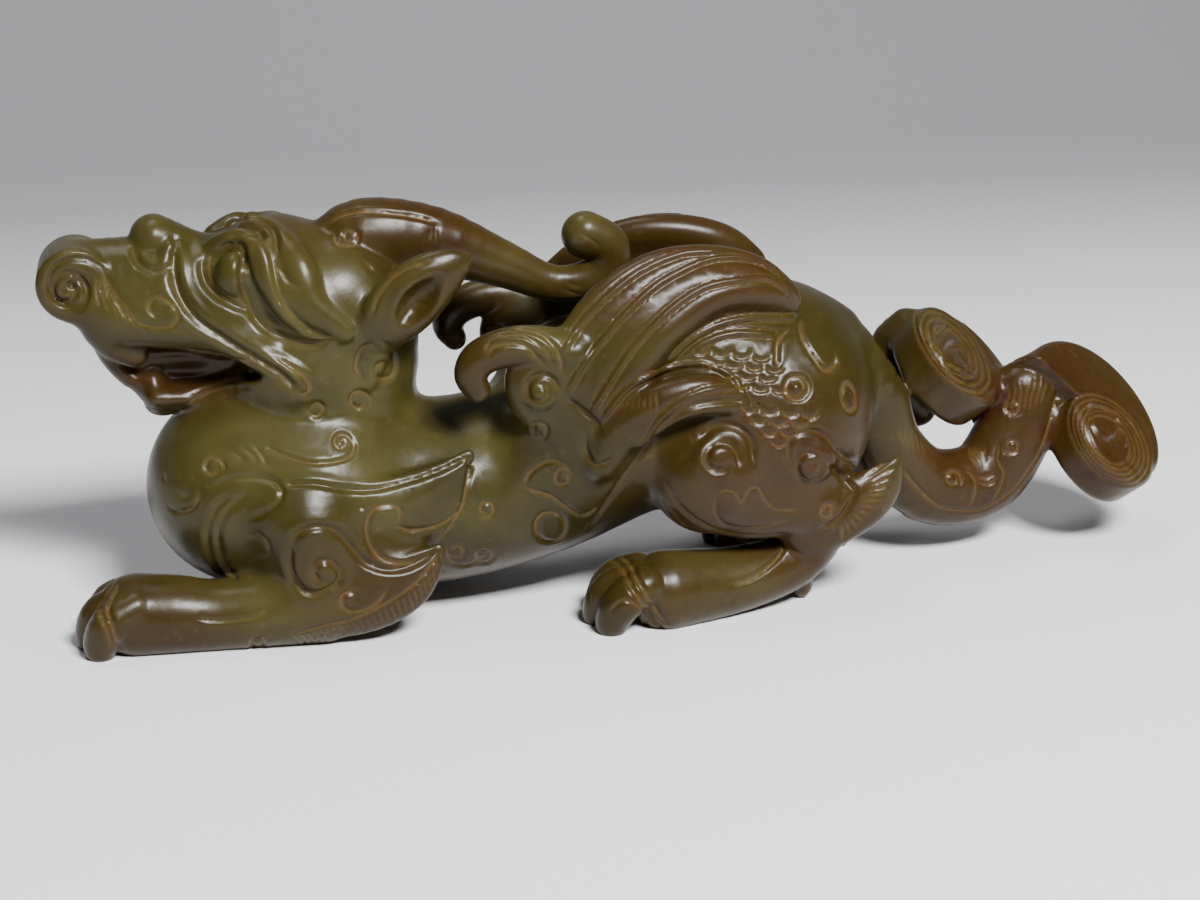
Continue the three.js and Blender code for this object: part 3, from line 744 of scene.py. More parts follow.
@dataclass
class Head:
    """The skull, the curled snout, the open mouth and the locks of the face.

    Attributes:
        skull: the radius of the skull.
        snout: the radius of the snout in its middle.
        nose_curl: the radius of the curl at its tip.
    """

    skull: float = 8.6
    snout: float = 4.3
    nose_curl: float = 3.8

    def forms(self) -> list[Form]:
        """The forms of the skull, the muzzle and the face."""
        made: list[Form] = [
            Ball([-28.6, 0, 32.6], [self.skull + 0.8, self.skull, self.skull], FIRM),
            Ball([-33.8, 0, 36.6], [6.4, 6.7, 5.8], FIRM),
        ]
        made += [Ball([-31.2, side.value * 4.2, 27], [6.6, 4.4, 5.2], FIRM) for side in Side]
        return made + self.muzzle() + self.locks()

    def muzzle(self) -> list[Form]:
        """The forms of the snout, the lips and the jaw."""
        bridge = [
            [-36, 0, 34.4, self.snout + 1.9],
            [-43, 0, 35.2, self.snout + 1.2],
            [-49, 0, 36.2, self.snout + 0.1],
            [-53, 0, 36.8, self.snout - 0.6],
        ]
        jaw = [[-46.4, 0, 24.4, 1.7], [-42.6, 0, 24.3, 1.6], [-39, 0, 25.2, 1.7], [-33, 0, 25.8, 3.6]]
        made: list[Form] = [
            Strand(bridge, FIRM, 0.98),
            Roll([-53.9, 0, 36.6], [0, 1, 0], self.nose_curl, 8, CRISP, turns=1.6, step=0.5),
            Strand([[-45.8, 0, 40.4, 2.5], [-42.4, 0, 39.4, 1.8]], CRISP, 1.1),
            Strand(jaw, FIRM, 2.3),
            Strand([[-47, 0, 28, 2.2], [-40, 0, 28, 2.6], [-34, 0, 28.4, 3]], CRISP, 0.8),
        ]
        lip = [
            [-50.6, 2.8, 32.4, 2.4],
            [-46, 3.8, 32.3, 2.2],
            [-41, 4.7, 31.9, 2.3],
            [-36.5, 5.6, 30.8, 2.5],
        ]
        cheek = [[-51.6, 1.8, 34.2, 2.9], [-46, 2.8, 33.8, 3], [-39, 3.4, 33.4, 3.6]]
        gape = [[-46.4, 5.6, 27.8, 2.2], [-42, 5.6, 27.9, 2.2], [-36.8, 6.2, 28, 1.2]]
        fang = [[-51, 2.7, 32, 2.4], [-50, 2.6, 30.4, 2], [-48.4, 2.7, 29.2, 1.5]]
        for side in Side:
            made.append(Strand(mirrored(lip, side), FIRM, 0.9))
            made.append(Strand(mirrored(cheek, side), FIRM))
            made.append(Strand(mirrored(gape, side), CRISP, 1.9, sign=-1))
            made.append(Strand(mirrored(fang, side), CRISP, 0.8))
        lobe = [[-51.6, 0, 31.4, 1.5], [-50.9, 0, 28.6, 1.2], [-48.8, 0, 26.2, 1.3], [-46.8, 0, 25.8, 1.6]]
        made.append(Strand(lobe, CRISP, 1.7))
        made.append(Ball([-47, 0, 25], [1.7, 2.6, 1.4], CRISP))
        made.append(Ball([-45.8, 0, 23], [1.9, 2.4, 1.2], CRISP))
        return made

    def locks(self) -> list[Form]:
        """The ridges that sweep back over the eye, down the cheek and along the lip."""
        moustache = [
            [-44, 2.6, 39.4, 1.2],
            [-43, 4.2, 36.4, 1.3],
            [-41, 5.4, 33, 1.4],
            [-37, 6.6, 30.2, 1.5],
            [-33, 7.8, 27.8, 1.4],
            [-31.6, 7.8, 26, 1.1],
        ]
        lid = [
            [-39.6, 2.8, 39.8, 1.2],
            [-37.4, 3.8, 40.6, 1.3],
            [-35.4, 5.6, 39.6, 1.4],
            [-34.4, 6.8, 37, 1.5],
            [-32.4, 7.6, 34, 1.4],
            [-29, 8, 31.6, 1],
        ]
        brow = [
            [-36, 1, 41.4, 1.2],
            [-33.2, 4, 40.2, 1.5],
            [-31.6, 6.6, 38, 1.7],
            [-30.6, 7.8, 34.8, 1.6],
            [-27.4, 8.4, 32, 1.1],
        ]
        made: list[Form] = []
        for side in Side:
            made.append(Strand(mirrored(moustache, side), CRISP, 0.8))
            made.append(Ball([-38.2, side.value * 5.3, 37.4], [1.8, 1.8, 2.4], CRISP))
            made.append(Strand(mirrored(lid, side), CRISP, 0.8))
            made.append(Strand(mirrored(brow, side), CRISP, 0.8))
            made.append(Strand(mirrored([[-24.4, 7, 29.2, 1.5], [-25.2, 7, 26.4, 1]], side), CRISP, 0.8))
        return made

    def strokes(self) -> list[Stroke]:
        """The folds round the eye, the moustache, the whiskers and the scrolls of the cheek."""
        whiskers = fan([(96, 276), (97, 292), (102, 311)], [(103, 274), (124, 304), (150, 339)], 6)
        lip_scroll = [
            (116, 295), (122, 311), (139, 323), (156, 328), (173, 326), (178, 316), (173, 305),
            (163, 298), (153, 299), (149, 308), (155, 316), (161, 318),
        ]
        knob = [(133, 247), (138, 262), (153, 270), (168, 267), (175, 256), (176, 242), (171, 237)]
        moustache = [
            (175, 245), (173.5, 265), (176, 285), (185, 305), (199, 322), (219, 336), (242, 351),
            (260, 362), (280, 374), (297, 391),
        ]
        moustache_end = [(297, 391), (305, 395), (310, 388), (305, 378), (288, 365), (274, 356)]
        eye_front = [
            (205, 257), (202, 267), (206, 282), (217, 295), (231, 303), (245, 309), (252, 313),
        ]
        eye_inner = [(214, 252), (209, 265), (212, 279), (225, 293), (242, 302), (251, 310.5)]
        eye_back = [
            (219, 249), (231, 244.5), (241, 246), (244, 259), (242, 279), (247, 299), (257, 319),
            (274, 333.5), (297, 342), (317, 343.5), (334, 341),
        ]
        lid = [
            (225, 237), (240, 233), (257, 234.5), (268, 244.5), (274, 259), (277, 279), (283, 299),
            (294, 316), (311, 331), (331, 339),
        ]
        brow = [(231, 224), (251, 217), (268, 224), (275, 236), (277, 253)]
        brow_crest = [(268, 239), (272, 255), (280, 270), (297, 288), (305, 290)]
        cheek = [(268, 375), (276, 378), (283, 382), (285, 388)]
        cheek_drop = [(371, 343), (362, 349), (357, 360), (357, 370), (364, 381)]
        cheek_scroll = [
            (383, 342), (393, 354), (394.5, 371), (386, 379), (377, 375), (378, 365), (386, 363),
        ]
        lip = [(150, 348), (175, 348), (200, 352), (240, 359), (255, 366)]
        jaw = [(186, 397), (200, 390), (214, 385), (242, 379), (257, 381)]
        jaw_low = [(186, 404), (214, 391), (234, 388), (254, 388)]
        return [
            Stroke(spiral((67, 290.5), 4, 22, 60, 1.5), Mark.GROOVE, 0.7, 0.3),
            *worked(whiskers, Mark.LINE, 0.3, 0.13),
            *worked([lip_scroll], width=0.45, depth=0.2),
            *worked([knob, brow], width=0.7, depth=0.35),
            *worked([moustache], width=1.0, depth=0.55),
            *worked([moustache_end], width=0.6, depth=0.3),
            *worked([eye_front, eye_back, lid], width=0.85, depth=0.45),
            *worked([eye_inner, brow_crest, cheek, jaw, jaw_low], Mark.LINE, 0.4, 0.18),
            *worked([cheek_drop, cheek_scroll, lip], width=0.55, depth=0.28),
            *worked([spiral((316.5, 408.5), 4, 8.6, 200, 1.2)], width=0.45),
            *worked([spiral((359, 401), 5, 12.5, 60, 1.2)], width=0.45),
            Stroke([(250, 374), (250.5, 374.5), (251, 375)], Mark.PIT, 1.0, 0.9),
        ]

    def skin(self) -> list[Patch]:
        """Skin inside the mouth, under the snout and on the brow."""
        return [
            Patch((-43, 0, 27), (9, 7, 4), 0.85),
            Patch((-31, 0, 41), (6, 8, 4), 0.5),
            Patch((-55, 0, 34), (4, 6, 5), 0.45),
        ]


@dataclass
class HornAndEars:
    """The horn that sweeps back and hooks up, and the two leaf-shaped ears.

    Attributes:
        horn: the radius of the horn where it is thickest, and a little more.
        ear: half the width of an ear, and a little more.
    """

    horn: float = 4.4
    ear: float = 3.9

    def forms(self) -> list[Form]:
        """The forms of the horn and the ears."""
        blade = [
            [-28, 0, 38.8, self.horn - 1.6],
            [-24.5, 0, 39.4, self.horn - 0.1],
            [-17.7, 0, 39, self.horn - 0.8],
            [-10.5, 0, 36.3, self.horn - 1.9],
            [-4.8, 0, 33.9, self.horn - 2.5],
            [0.2, 0, 34.8, self.horn - 2.2],
            [0.8, 0, 37.6, self.horn - 2.1],
            [-1.6, 0, 39, self.horn - 1.9],
        ]
        leaf = [
            [-24.6, 7.4, 31.2, 2.4],
            [-21.8, 8.6, 34.4, self.ear - 0.5],
            [-19.4, 9, 36.6, self.ear - 0.8],
            [-17, 9, 38.2, 2],
            [-15.4, 8.8, 38.8, 0.9],
        ]
        hollow = [[-22.2, 11.6, 32.8, 1], [-20.2, 11.6, 35.2, 1.8], [-18.4, 11.6, 37.2, 1]]
        made: list[Form] = [Strand(blade, CRISP, 0.9)]
        for side in Side:
            made.append(Strand(mirrored(leaf, side), CRISP, 0.55))
            made.append(Strand(mirrored(hollow, side), CRISP, 1.6, sign=-1))
        return made

    def strokes(self) -> list[Stroke]:
        """The long groove and the curl of the horn, and the fold inside the ear."""
        groove = [(328.5, 223), (340, 216), (360, 211.5), (389, 213), (417.5, 217), (437.6, 223)]
        curl_tail = [(334, 230), (337, 244), (354, 247)]
        ticks = [
            [(425, 234.5), (424, 239), (423, 243.5)],
            [(436, 224), (436, 234), (435, 244.5)],
            [(431, 229), (430, 236), (429, 243)],
        ]
        root = [(363, 262), (370, 268), (377, 273)]
        ear_fold = [(372, 318), (378, 298), (392, 279), (412, 266), (430, 262)]
        hook_bands = [
            [(573, 239), (581, 236), (590, 239), (599, 247)],
            [(566, 282), (574, 286), (584, 287)],
            [(562, 288), (571, 293), (582, 295)],
        ]
        return [
            *worked([groove], width=0.6, depth=0.25),
            *worked([spiral((350, 237), 3.5, 10, 150, 1.3), curl_tail, ear_fold], width=0.45, depth=0.2),
            *worked([*ticks, root, *hook_bands], Mark.LINE, 0.4, 0.16),
        ]

    def skin(self) -> list[Patch]:
        """The horn is brown from root to tip, and the ears along their edges."""
        return [
            Patch((-20, 0, 40), (11, 5, 6), 0.9),
            Patch((-7, 0, 35), (10, 4, 4), 0.6),
            Patch((-18, -10, 34), (4, 3, 6), 0.5),
            Patch((-18, 10, 34), (4, 3, 6), 0.5),
        ]


@dataclass
class Paw:
    """A paw with toes that turn in a little.

    Attributes:
        radius: half the width of the paw.
        toe: the radius of a toe.
        toes: how many there are.
    """

    radius: float = 4.3
    toe: float = 2.1
    toes: int = 3

    def forms(self, place: Row, side: Side) -> list[Form]:
        """Spreads the toes.

        Args:
            place: the middle of the paw.
            side: the side that the paw is on.

        Returns:
            One limb for each toe.
        """
        x, y, z = place
        made: list[Form] = []
        for i in range(self.toes):
            across = (i * 2 / (self.toes - 1) - 1) * (self.radius - self.toe * 0.6)
            reach = 1.2 * (1 - abs(across) / self.radius)
            toe = [
                [x + 0.4, y + across * 0.7, z + 1.5, self.toe],
                [x - 1.6 - reach, y + across - 0.3, z + 0.3, self.toe],
                [x - 2.8 - reach, y + across - 0.8, z - 1.9, self.toe - 0.3],
                [x - 2.8 - reach, y + across - 1, z - 3.4, self.toe - 0.8],
            ]
            made.append(Strand(mirrored(toe, side), CRISP / 2))
        return made


@dataclass
class Foreleg:
    """A front leg that lies along the ground, with its shoulder and its elbow tuft.

    Attributes:
        side: the side that it is on.
        elbow_x: where the elbow is, along the beast.
        paw_x: where the paw is, along the beast.
        shoulder: the radius of the shoulder.
        paw: its paw.
    """

    side: Side
    elbow_x: float
    paw_x: float
    shoulder: float = 9.2
    paw: Paw = field(default_factory=Paw)

    def forms(self) -> list[Form]:
        """The forms of the leg, from shoulder to toes."""
        side, elbow, paw_x = self.side, self.elbow_x, self.paw_x
        shoulder_x = (elbow - 31) / 2
        upper = [
            [shoulder_x - 1.5, 9, 12.6, self.shoulder - 3.2],
            [elbow - 0.6, 9.6, 7, self.shoulder - 4.2],
        ]
        lower = [
            [elbow - 1, 10.2, 4, self.paw.radius],
            [(elbow + paw_x) / 2 - 1, 10, 3.1, self.paw.radius - 0.6],
            [paw_x + 3.6, 9.8, 3.4, self.paw.radius - 0.2],
            [paw_x, 9.6, 3.5, self.paw.radius],
        ]
        plate = [
            [elbow - 4.4, 9, 14.6, 2.8],
            [elbow + 1.6, 10.4, 14.2, 3.2],
            [elbow + 7.6, 10.4, 14.6, 2.7],
            [elbow + 12, 10, 16.6, 1.7],
            [elbow + 14.6, 9.6, 18.6, 0.7],
        ]
        panel = [
            [elbow - 2, 9.2, 10.6, 4.2],
            [elbow + 4, 9.4, 10.8, 4],
            [elbow + 9, 9.2, 12.2, 3.4],
            [elbow + 12.4, 9, 14.8, 2.2],
        ]
        tuft = [
            [elbow - 3.4, 11.2, 4.6, 4.2],
            [elbow + 2.4, 12, 5, 4.2],
            [elbow + 6.5, 12.4, 5.8, 3.3],
            [elbow + 9, 12.4, 7.2, 2.2],
            [elbow + 11, 12.2, 9.4, 0.8],
        ]
        return [
            Ball([shoulder_x, side.value * 4.8, 12.6], [self.shoulder, 8.6, self.shoulder - 0.2], SOFT),
            Strand(mirrored(upper, side), FIRM),
            Strand(mirrored(lower, side), FIRM),
            *self.paw.forms([paw_x - 0.6, 9.6, 3.5], side),
            Strand(mirrored(plate, side), CRISP, 0.8),
            Strand(mirrored(panel, side), FIRM, 0.8),
            Strand(mirrored(tuft, side), CRISP, 0.6),
            Ball([elbow + 3.6, side.value * 10, 8.4], [6.4, 3.6, 4], FIRM),
            Ball([elbow - 1.2, side.value * 12.6, 9], [3, 2.2, 3], CRISP),
        ]

    def strokes(self, far: "Foreleg") -> list[Stroke]:
        """The scrolls of the shoulder, the fringe of the elbow and the creases of the paw.

        Args:
            far: the leg on the far side, which carries the twins.

        Returns:
            The strokes.
        """
        elbow_shift = far.elbow_x - self.elbow_x
        shoulder_shift = elbow_shift / 2
        paw_shift = far.paw_x - self.paw_x
        comma = [
            (213.5, 486), (231, 479), (254, 477), (271, 480), (281, 489), (279.5, 500), (271, 509),
            (259, 515), (251, 519),
        ]
        plate_top = [
            (282, 484.6), (314, 483.7), (345.5, 489), (374, 489), (403, 482), (432, 473), (455, 463),
            (467.5, 456),
        ]
        plate_tip = [(467.5, 456), (469, 469), (466, 492), (460, 512), (437, 546)]
        front = [
            (231, 494.6), (216, 509), (209, 526), (208, 543), (213.5, 561), (225, 578),
        ]
        front_next = [(245, 496), (228, 509), (219, 526), (218, 543), (225, 563.5), (236.5, 579)]
        hook = [
            (396, 526), (398.6, 520.5), (400, 510), (388.6, 504.7), (374, 510), (367, 523),
            (368.5, 540.5), (380, 558), (400, 563.5), (420, 560.6),
        ]
        hook_band = [(396, 526), (409, 530.5), (426, 529), (446, 522), (462, 508)]
        shoulder_top = [
            (291, 546), (297, 535), (314, 527.6), (334, 530.5), (348, 543), (363, 560.6), (383, 569),
            (403, 568), (420, 560.6), (437, 550.6),
        ]
        shoulder_curl = [
            (291, 546), (289.6, 566), (297, 583.6), (311, 593.6), (322.6, 592), (337, 583.6),
            (340, 572), (331, 562), (320, 562), (314, 572), (320, 582), (328, 581),
        ]
        small_curl = [
            (388.6, 589), (377, 603.7), (363, 611), (348, 611), (341, 602), (343, 595), (351, 592),
            (357, 598),
        ]
        fringe = [
            (291, 634), (328, 625), (357, 618), (386, 604), (409, 589), (423, 575), (440, 553.5),
        ]
        fringe_edge = [(300, 646), (335, 643), (358, 639), (390, 626), (416, 610), (432, 592), (443, 572)]
        motif = [(245, 566), (254, 558), (268, 553.5), (268, 543), (259, 535), (248, 537.7)]
        paw_creases = [
            [(114.5, 579), (104, 598), (100, 609), (107, 632), (113, 650)],
            [(120, 584), (111, 600), (108, 612), (114, 632), (120, 648)],
        ]
        leg_ridge = [(196, 618), (219, 621), (254, 618), (271, 609)]
        claw = spiral((256.6, 644), 3, 8, 150, 1.3)
        return [
            *worked([front, front_next], width=0.8, depth=0.4, far_shift=shoulder_shift),
            *worked([comma, plate_top], width=0.65, depth=0.32, far_shift=shoulder_shift),
            *worked([plate_tip], width=0.6, depth=0.3, far_shift=shoulder_shift),
            *worked([hook, hook_band], width=0.55, depth=0.28, far_shift=shoulder_shift),
            *worked([shoulder_top, shoulder_curl], width=0.8, depth=0.42, far_shift=elbow_shift),
            *worked([small_curl], width=0.6, depth=0.32, far_shift=elbow_shift),
            *worked([fringe], width=0.5, depth=0.24, far_shift=elbow_shift),
            *worked(hatching(fringe, fringe_edge, 26), Mark.LINE, 0.4, 0.2, elbow_shift),
            *worked([motif, leg_ridge], Mark.LINE, 0.45, 0.2, elbow_shift),
            *worked([claw], width=0.5, depth=0.25, far_shift=elbow_shift),
            *worked(paw_creases, width=0.6, depth=0.3, far_shift=paw_shift),
        ]

    def skin(self) -> list[Patch]:
        """Skin on the paw, along the fringe and on the shoulder's scroll."""
        y = self.side.value
        return [
            Patch((self.paw_x + 2, y * 10, 2), (9, 6, 5), 0.75),
            Patch((self.elbow_x + 6, y * 13, 5), (9, 3, 5), 0.7),
            Patch((self.elbow_x, y * 13, 9), (5, 3, 4), 0.5),
        ]


@dataclass
class Hindleg:
    """A folded hind leg, with its haunch, knee, hock tuft and paw.

    Attributes:
        side: the side that it is on.
        knee_x: where the knee is, along the beast.
        heel_x: where the heel is, along the beast.
        paw_x: where the paw is, along the beast.
        haunch: the radius of the haunch.
        knee: the radius of the knee.
        paw: its paw.
    """

    side: Side
    knee_x: float
    heel_x: float
    paw_x: float
    haunch: float = 11.2
    knee: float = 6.8
    paw: Paw = field(default_factory=Paw)

    def forms(self) -> list[Form]:
        """The forms of the leg, from haunch to toes."""
        side, knee, heel, paw_x = self.side, self.knee_x, self.heel_x, self.paw_x
        shank = [
            [knee + 3, 9.6, 12.6, 4.6],
            [heel, 9.4, 11.6, 4],
            [heel + 1.8, 8.8, 8.8, 2.9],
            [heel - 1, 8.2, 4.8, self.paw.radius - 1.2],
            [(heel + paw_x) / 2 + 2, 9.8, 3.4, self.paw.radius - 0.8],
            [paw_x + 3, 11.6, 3.3, self.paw.radius],
        ]
        tuft = [
            [heel + 0.5, 10.4, 9.8, 4.1],
            [heel + 4.8, 10.8, 11.4, 3.3],
            [heel + 7.4, 10.8, 13.2, 2.3],
            [heel + 9, 10.8, 15.6, 0.7],
        ]
        return [
            Ball([15.4, side.value * 6, 19], [self.haunch + 0.9, 8.6, self.haunch], SOFT),
            Ball([knee - 1, side.value * 9.8, 15.6], [self.knee - 0.2, 6.2, self.knee - 0.2], FIRM),
            Strand(mirrored(shank, side), FIRM),
            *self.paw.forms([paw_x, 11.8, 3.3], side),
            Ball([heel, side.value * 7.4, 1.8], [1.3, 1.6, 1.9], CRISP),
            Strand(mirrored(tuft, side), CRISP, 0.5),
            Ball([19.8, side.value * 12.6, 17.6], [2.9, 2.2, 2.9], CRISP),
            Ball([knee - 1.4, side.value * 14.2, 18], [2.6, 1.7, 2.4], CRISP),
        ]

    def strokes(self, far: "Hindleg") -> list[Stroke]:
        """The scales, scrolls and folds of the haunch, the knee, the hock and the paw.

        Args:
            far: the leg on the far side, which carries the twins.

        Returns:
            The strokes.
        """
        knee_shift = far.knee_x - self.knee_x
        heel_shift = far.heel_x - self.heel_x
        paw_shift = far.paw_x - self.paw_x
        knee_arc = [(700, 440), (711, 428), (728.5, 425), (743, 431), (751.5, 442.6), (753, 463)]
        knee_fold = [(666.7, 486.5), (683, 510), (712, 529), (750, 536), (783, 534)]
        knee_fold_next = [(661, 498), (680, 522), (710, 540), (748, 547), (776, 546)]
        wave = [
            (716.5, 496), (723.6, 491), (735.5, 493.6), (742.6, 503), (749.8, 491), (759, 489),
            (766, 501), (778, 510), (799.5, 510),
        ]
        wave_loop = [(716.5, 496), (716, 515), (731, 527), (759, 527), (792, 520)]
        scroll = [
            (792, 467.6), (787.7, 448.6), (797, 434), (816, 432), (830, 441), (840, 453), (857, 464),
        ]
        scroll_eye = [
            (818.5, 455.7), (806.7, 453), (797, 463), (799.5, 477), (811, 482), (821, 472), (818.5, 463),
            (811, 465),
        ]
        band = [
            (818.5, 455.7), (833, 468), (848, 484), (854, 493), (849, 506), (838, 520), (823, 527),
        ]
        tuft_edge = [(892, 458), (894, 467.6), (887, 496), (868, 520), (845, 540)]
        tuft_root = [(866, 478), (868, 485), (866, 494), (858, 508), (842, 524)]
        ankle = [(731, 586), (754.5, 577), (773.5, 562), (783, 548), (778, 539)]
        paw_crease = [(610, 558), (622, 567), (631, 586), (650, 615), (662, 629)]
        paw_crease_next = [(618, 555), (630, 564), (639, 583), (657, 611), (669, 624)]
        toe_lines = [
            [(595.6, 567), (590, 579), (588.5, 591), (589.4, 605)],
            [(607, 615), (616, 605), (626, 600), (641, 610), (648, 631)],
        ]
        rump_curl = [(800, 319), (803, 339), (815, 359), (826, 371), (835, 365), (835, 354)]
        rump_drop = [(789, 329), (779, 340), (777, 351), (777, 368)]
        return [
            *worked([spiral((720, 459), 10, 20, 30, 1)], width=0.8, depth=0.4, far_shift=knee_shift),
            *worked([knee_arc], width=0.8, depth=0.4, far_shift=knee_shift),
            *worked([knee_fold, knee_fold_next], width=0.6, depth=0.24, far_shift=knee_shift),
            *worked([wave, wave_loop], Mark.LINE, 0.4, 0.18, knee_shift),
            *worked(self.scales(), Mark.GROOVE, 0.42, 0.24, knee_shift),
            *worked([scroll, scroll_eye, band], width=0.7, depth=0.36, far_shift=heel_shift),
            *worked([spiral((828, 512.6), 3, 8, 0, 1.3)], width=0.5, far_shift=heel_shift),
            *worked(hatching(tuft_root, tuft_edge, 12), Mark.GROOVE, 0.5, 0.26, heel_shift),
            *worked([ankle], width=0.5, far_shift=heel_shift),
            *worked([paw_crease, paw_crease_next], width=0.6, depth=0.3, far_shift=paw_shift),
            *worked(toe_lines, Mark.LINE, 0.45, 0.2, paw_shift),
            *worked([rump_curl, rump_drop], width=0.6, depth=0.3, far_shift=knee_shift),
            *worked([ring((797, 388), 12), ring((849, 398), 14, 0.5, 80)], width=0.5, far_shift=knee_shift),
            *worked([[(795, 388), (795.5, 388), (796, 388)]], Mark.BOSS, 1.4, 0.4, knee_shift),
        ]

    def scales(self) -> list[Pixels]:
        """Rows of overlapping scales, one field on the rump and one on the haunch."""
        lines = []
        wide, high, slope = 20, 11.5, 2
        for left, top, lean, counts in ((702, 344, 13, (4, 4, 3, 3)), (750, 402, 10, (4, 3, 2, 1))):
            for row, count in enumerate(counts):
                for column in range(count):
                    x = left + wide * column + lean * row
                    y = top + high * row + slope * column
                    lines.append(spiral((x, y), wide / 2, wide / 2, 172, 0.45, 1.05))
        return lines

    def skin(self) -> list[Patch]:
        """Brown skin over the whole haunch, the shank and the paw."""
        y = self.side.value
        return [
            Patch((self.knee_x + 5, y * 13, 15), (13, 8, 10), 0.85),
            Patch((self.heel_x, y * 10, 9), (10, 6, 8), 0.85),
            Patch((self.paw_x + 3, y * 12, 3), (10, 6, 5), 0.6),
        ]


@dataclass
class Wing:
    """A folded wing: long feathers, a short one below them and a curl in front.

    Attributes:
        side: the side that it is on.
        feathers: how many long feathers there are.
        feather: the radius of a long feather.
        thickness: how flat a feather is.
        curl: the radius of the disc that the curl grows from.
    """

    side: Side
    feathers: int = 4
    feather: float = 1.6
    thickness: float = 0.8
    curl: float = 5

    def lay(self, rows: Sequence[Row], width: float, blend: float = CRISP) -> Form:
        """A limb on this wing's side."""
        return Strand(mirrored(rows, self.side), blend, width)

    def forms(self) -> list[Form]:
        """The forms of the wing."""
        plate = [
            [-2, 10.6, 22, 4],
            [-0.6, 10.2, 26.6, 4.8],
            [1.8, 9.4, 31.4, 4.2],
            [6.4, 8.4, 34.6, 3.2],
            [11, 7.8, 35.8, 2.2],
            [15, 7.4, 35, 1.4],
        ]
        y = self.side.value
        return [
            Ball([-1.4, y * 6.8, 20], [9, 5.2, 8], SOFT),
            Ball([9.5, y * 6.4, 27.6], [9, 5, 7.2], SOFT),
            self.lay(plate, 0.42, FIRM),
            *self.long_feathers(),
            *self.short_feather(),
            *self.front_curl(),
        ]

    def long_feathers(self) -> list[Form]:
        """The long feathers, which fan from the lowest to the crest."""
        lowest = np.array([
            [-0.6, 12, 23.8], [3.5, 11.8, 30], [7.2, 11, 33],
            [11, 10.2, 34.6], [15.6, 9, 34.2], [18.6, 7.8, 32.6],
        ])
        crest = np.array([
            [-6, 10.4, 28.8], [-1.6, 9, 34], [3.8, 7.6, 36.9],
            [9.1, 6.8, 37.3], [14, 6.5, 36.1], [17.8, 6.8, 34],
        ])
        taper = np.array([1, 1, 1, 1, 1, 0.5])[:, None] * self.feather
        made = []
        for i in range(self.feathers):
            share = i / (self.feathers - 1)
            rows = np.hstack([lowest + share * (crest - lowest), taper])
            made.append(self.lay(rows.tolist(), self.thickness, FIRM))
        return made

    def short_feather(self) -> list[Form]:
        """The short feather that lies over the haunch, and its second ridge."""
        covert = [
            [-1.8, 11.4, 17.8, 2],
            [0.2, 12.2, 21.4, 2.2],
            [3.4, 12.8, 24, 2.2],
            [7.6, 13, 25, 2.1],
            [11, 12.8, 24.6, 1.5],
            [12.8, 12.4, 23.8, 0.8],
        ]
        ridge = [[1.6, 13, 20.6, 1], [4.6, 13.8, 23.2, 1], [8, 14, 24, 1], [12, 13.4, 23.6, 0.8]]
        return [self.lay(covert, self.thickness), self.lay(ridge, self.thickness)]

    def front_curl(self) -> list[Form]:
        """The curl at the front of the wing."""
        hook = [
            [-4.6, 10.6, 29.2, 2.3],
            [-8.6, 10.4, 30.2, 2.1],
            [-11.8, 10.2, 30, 2],
            [-14.2, 10, 28.9, 1.9],
            [-15, 10, 27.2, 1.7],
            [-14.3, 10, 25.7, 1.3],
        ]
        y = self.side.value
        return [
            Ball([-7.2, y * 9.8, 26], [self.curl - 0.6, 2.4, self.curl], FIRM),
            self.lay(hook, 0.95),
            Ball([-8, y * 11.4, 25.4], [1.7, 1.4, 1.7], CRISP),
        ]

    def strokes(self) -> list[Stroke]:
        """The ridges of the feathers and the lines round the curl."""
        top_ridge = [(563.5, 351), (585, 319), (614, 290.5), (642, 270), (674, 256), (697, 252), (720, 252)]
        second_ridge = [
            (568, 391), (585, 362), (608, 333.5), (631, 308), (657, 285), (683, 270), (708, 260),
            (734, 257.5), (760, 262), (783, 276),
        ]
        third_ridge = [
            (591, 414), (608, 385), (631, 351), (654, 325), (680, 302), (708, 286), (740, 280),
            (769, 279), (797, 298),
        ]
        curl_crest = [
            (562, 374), (560.6, 359), (553, 345), (539, 333.5), (516, 328), (493, 328), (473, 333.5),
            (458, 350), (455, 370),
        ]
        curl_inner = [(487, 359), (493, 348), (507.5, 343.5), (525, 346), (536, 356), (545, 366)]
        curl_inner_next = [(484.5, 356), (490, 341), (505, 335), (525, 337), (542, 347), (553, 363)]
        root = [(566, 398), (579, 408), (594, 420), (599, 431)]
        short_top = [
            (602, 420), (625, 391), (648, 376.5), (674, 366.5), (703, 363.6), (723, 371), (737, 382),
            (747, 402),
        ]
        short_ridge = [(642, 448), (657, 422.5), (677, 404), (700, 392), (726, 387.5), (743, 388)]
        short_low = [(588, 529), (631, 467.6), (659.6, 429.6), (688, 408), (721, 401), (742.6, 401)]
        rump_ridges = [
            [(668, 362), (688, 342), (717, 325), (751.5, 318), (794.5, 318)],
            [(688, 353.6), (705.5, 342), (734, 333.5), (774, 335)],
        ]
        across = hatching([(625, 399), (640, 394), (657, 392)], [(618, 412), (636, 414), (657, 414)], 7)
        return [
            *worked([top_ridge, second_ridge, third_ridge], Mark.RIDGE, 0.75, 0.3),
            *worked([short_top, short_ridge], Mark.RIDGE, 0.7, 0.28),
            *worked([short_low, root], width=0.7, depth=0.35),
            *worked(rump_ridges, Mark.RIDGE, 0.8, 0.3),
            *worked([curl_crest, curl_inner], width=0.5, depth=0.24),
            *worked([curl_inner_next], Mark.LINE, 0.35, 0.14),
            *worked([spiral((540.5, 391), 6, 18, 0, 1.3)], width=0.7, depth=0.36),
            *worked(across, Mark.LINE, 0.3, 0.12),
        ]

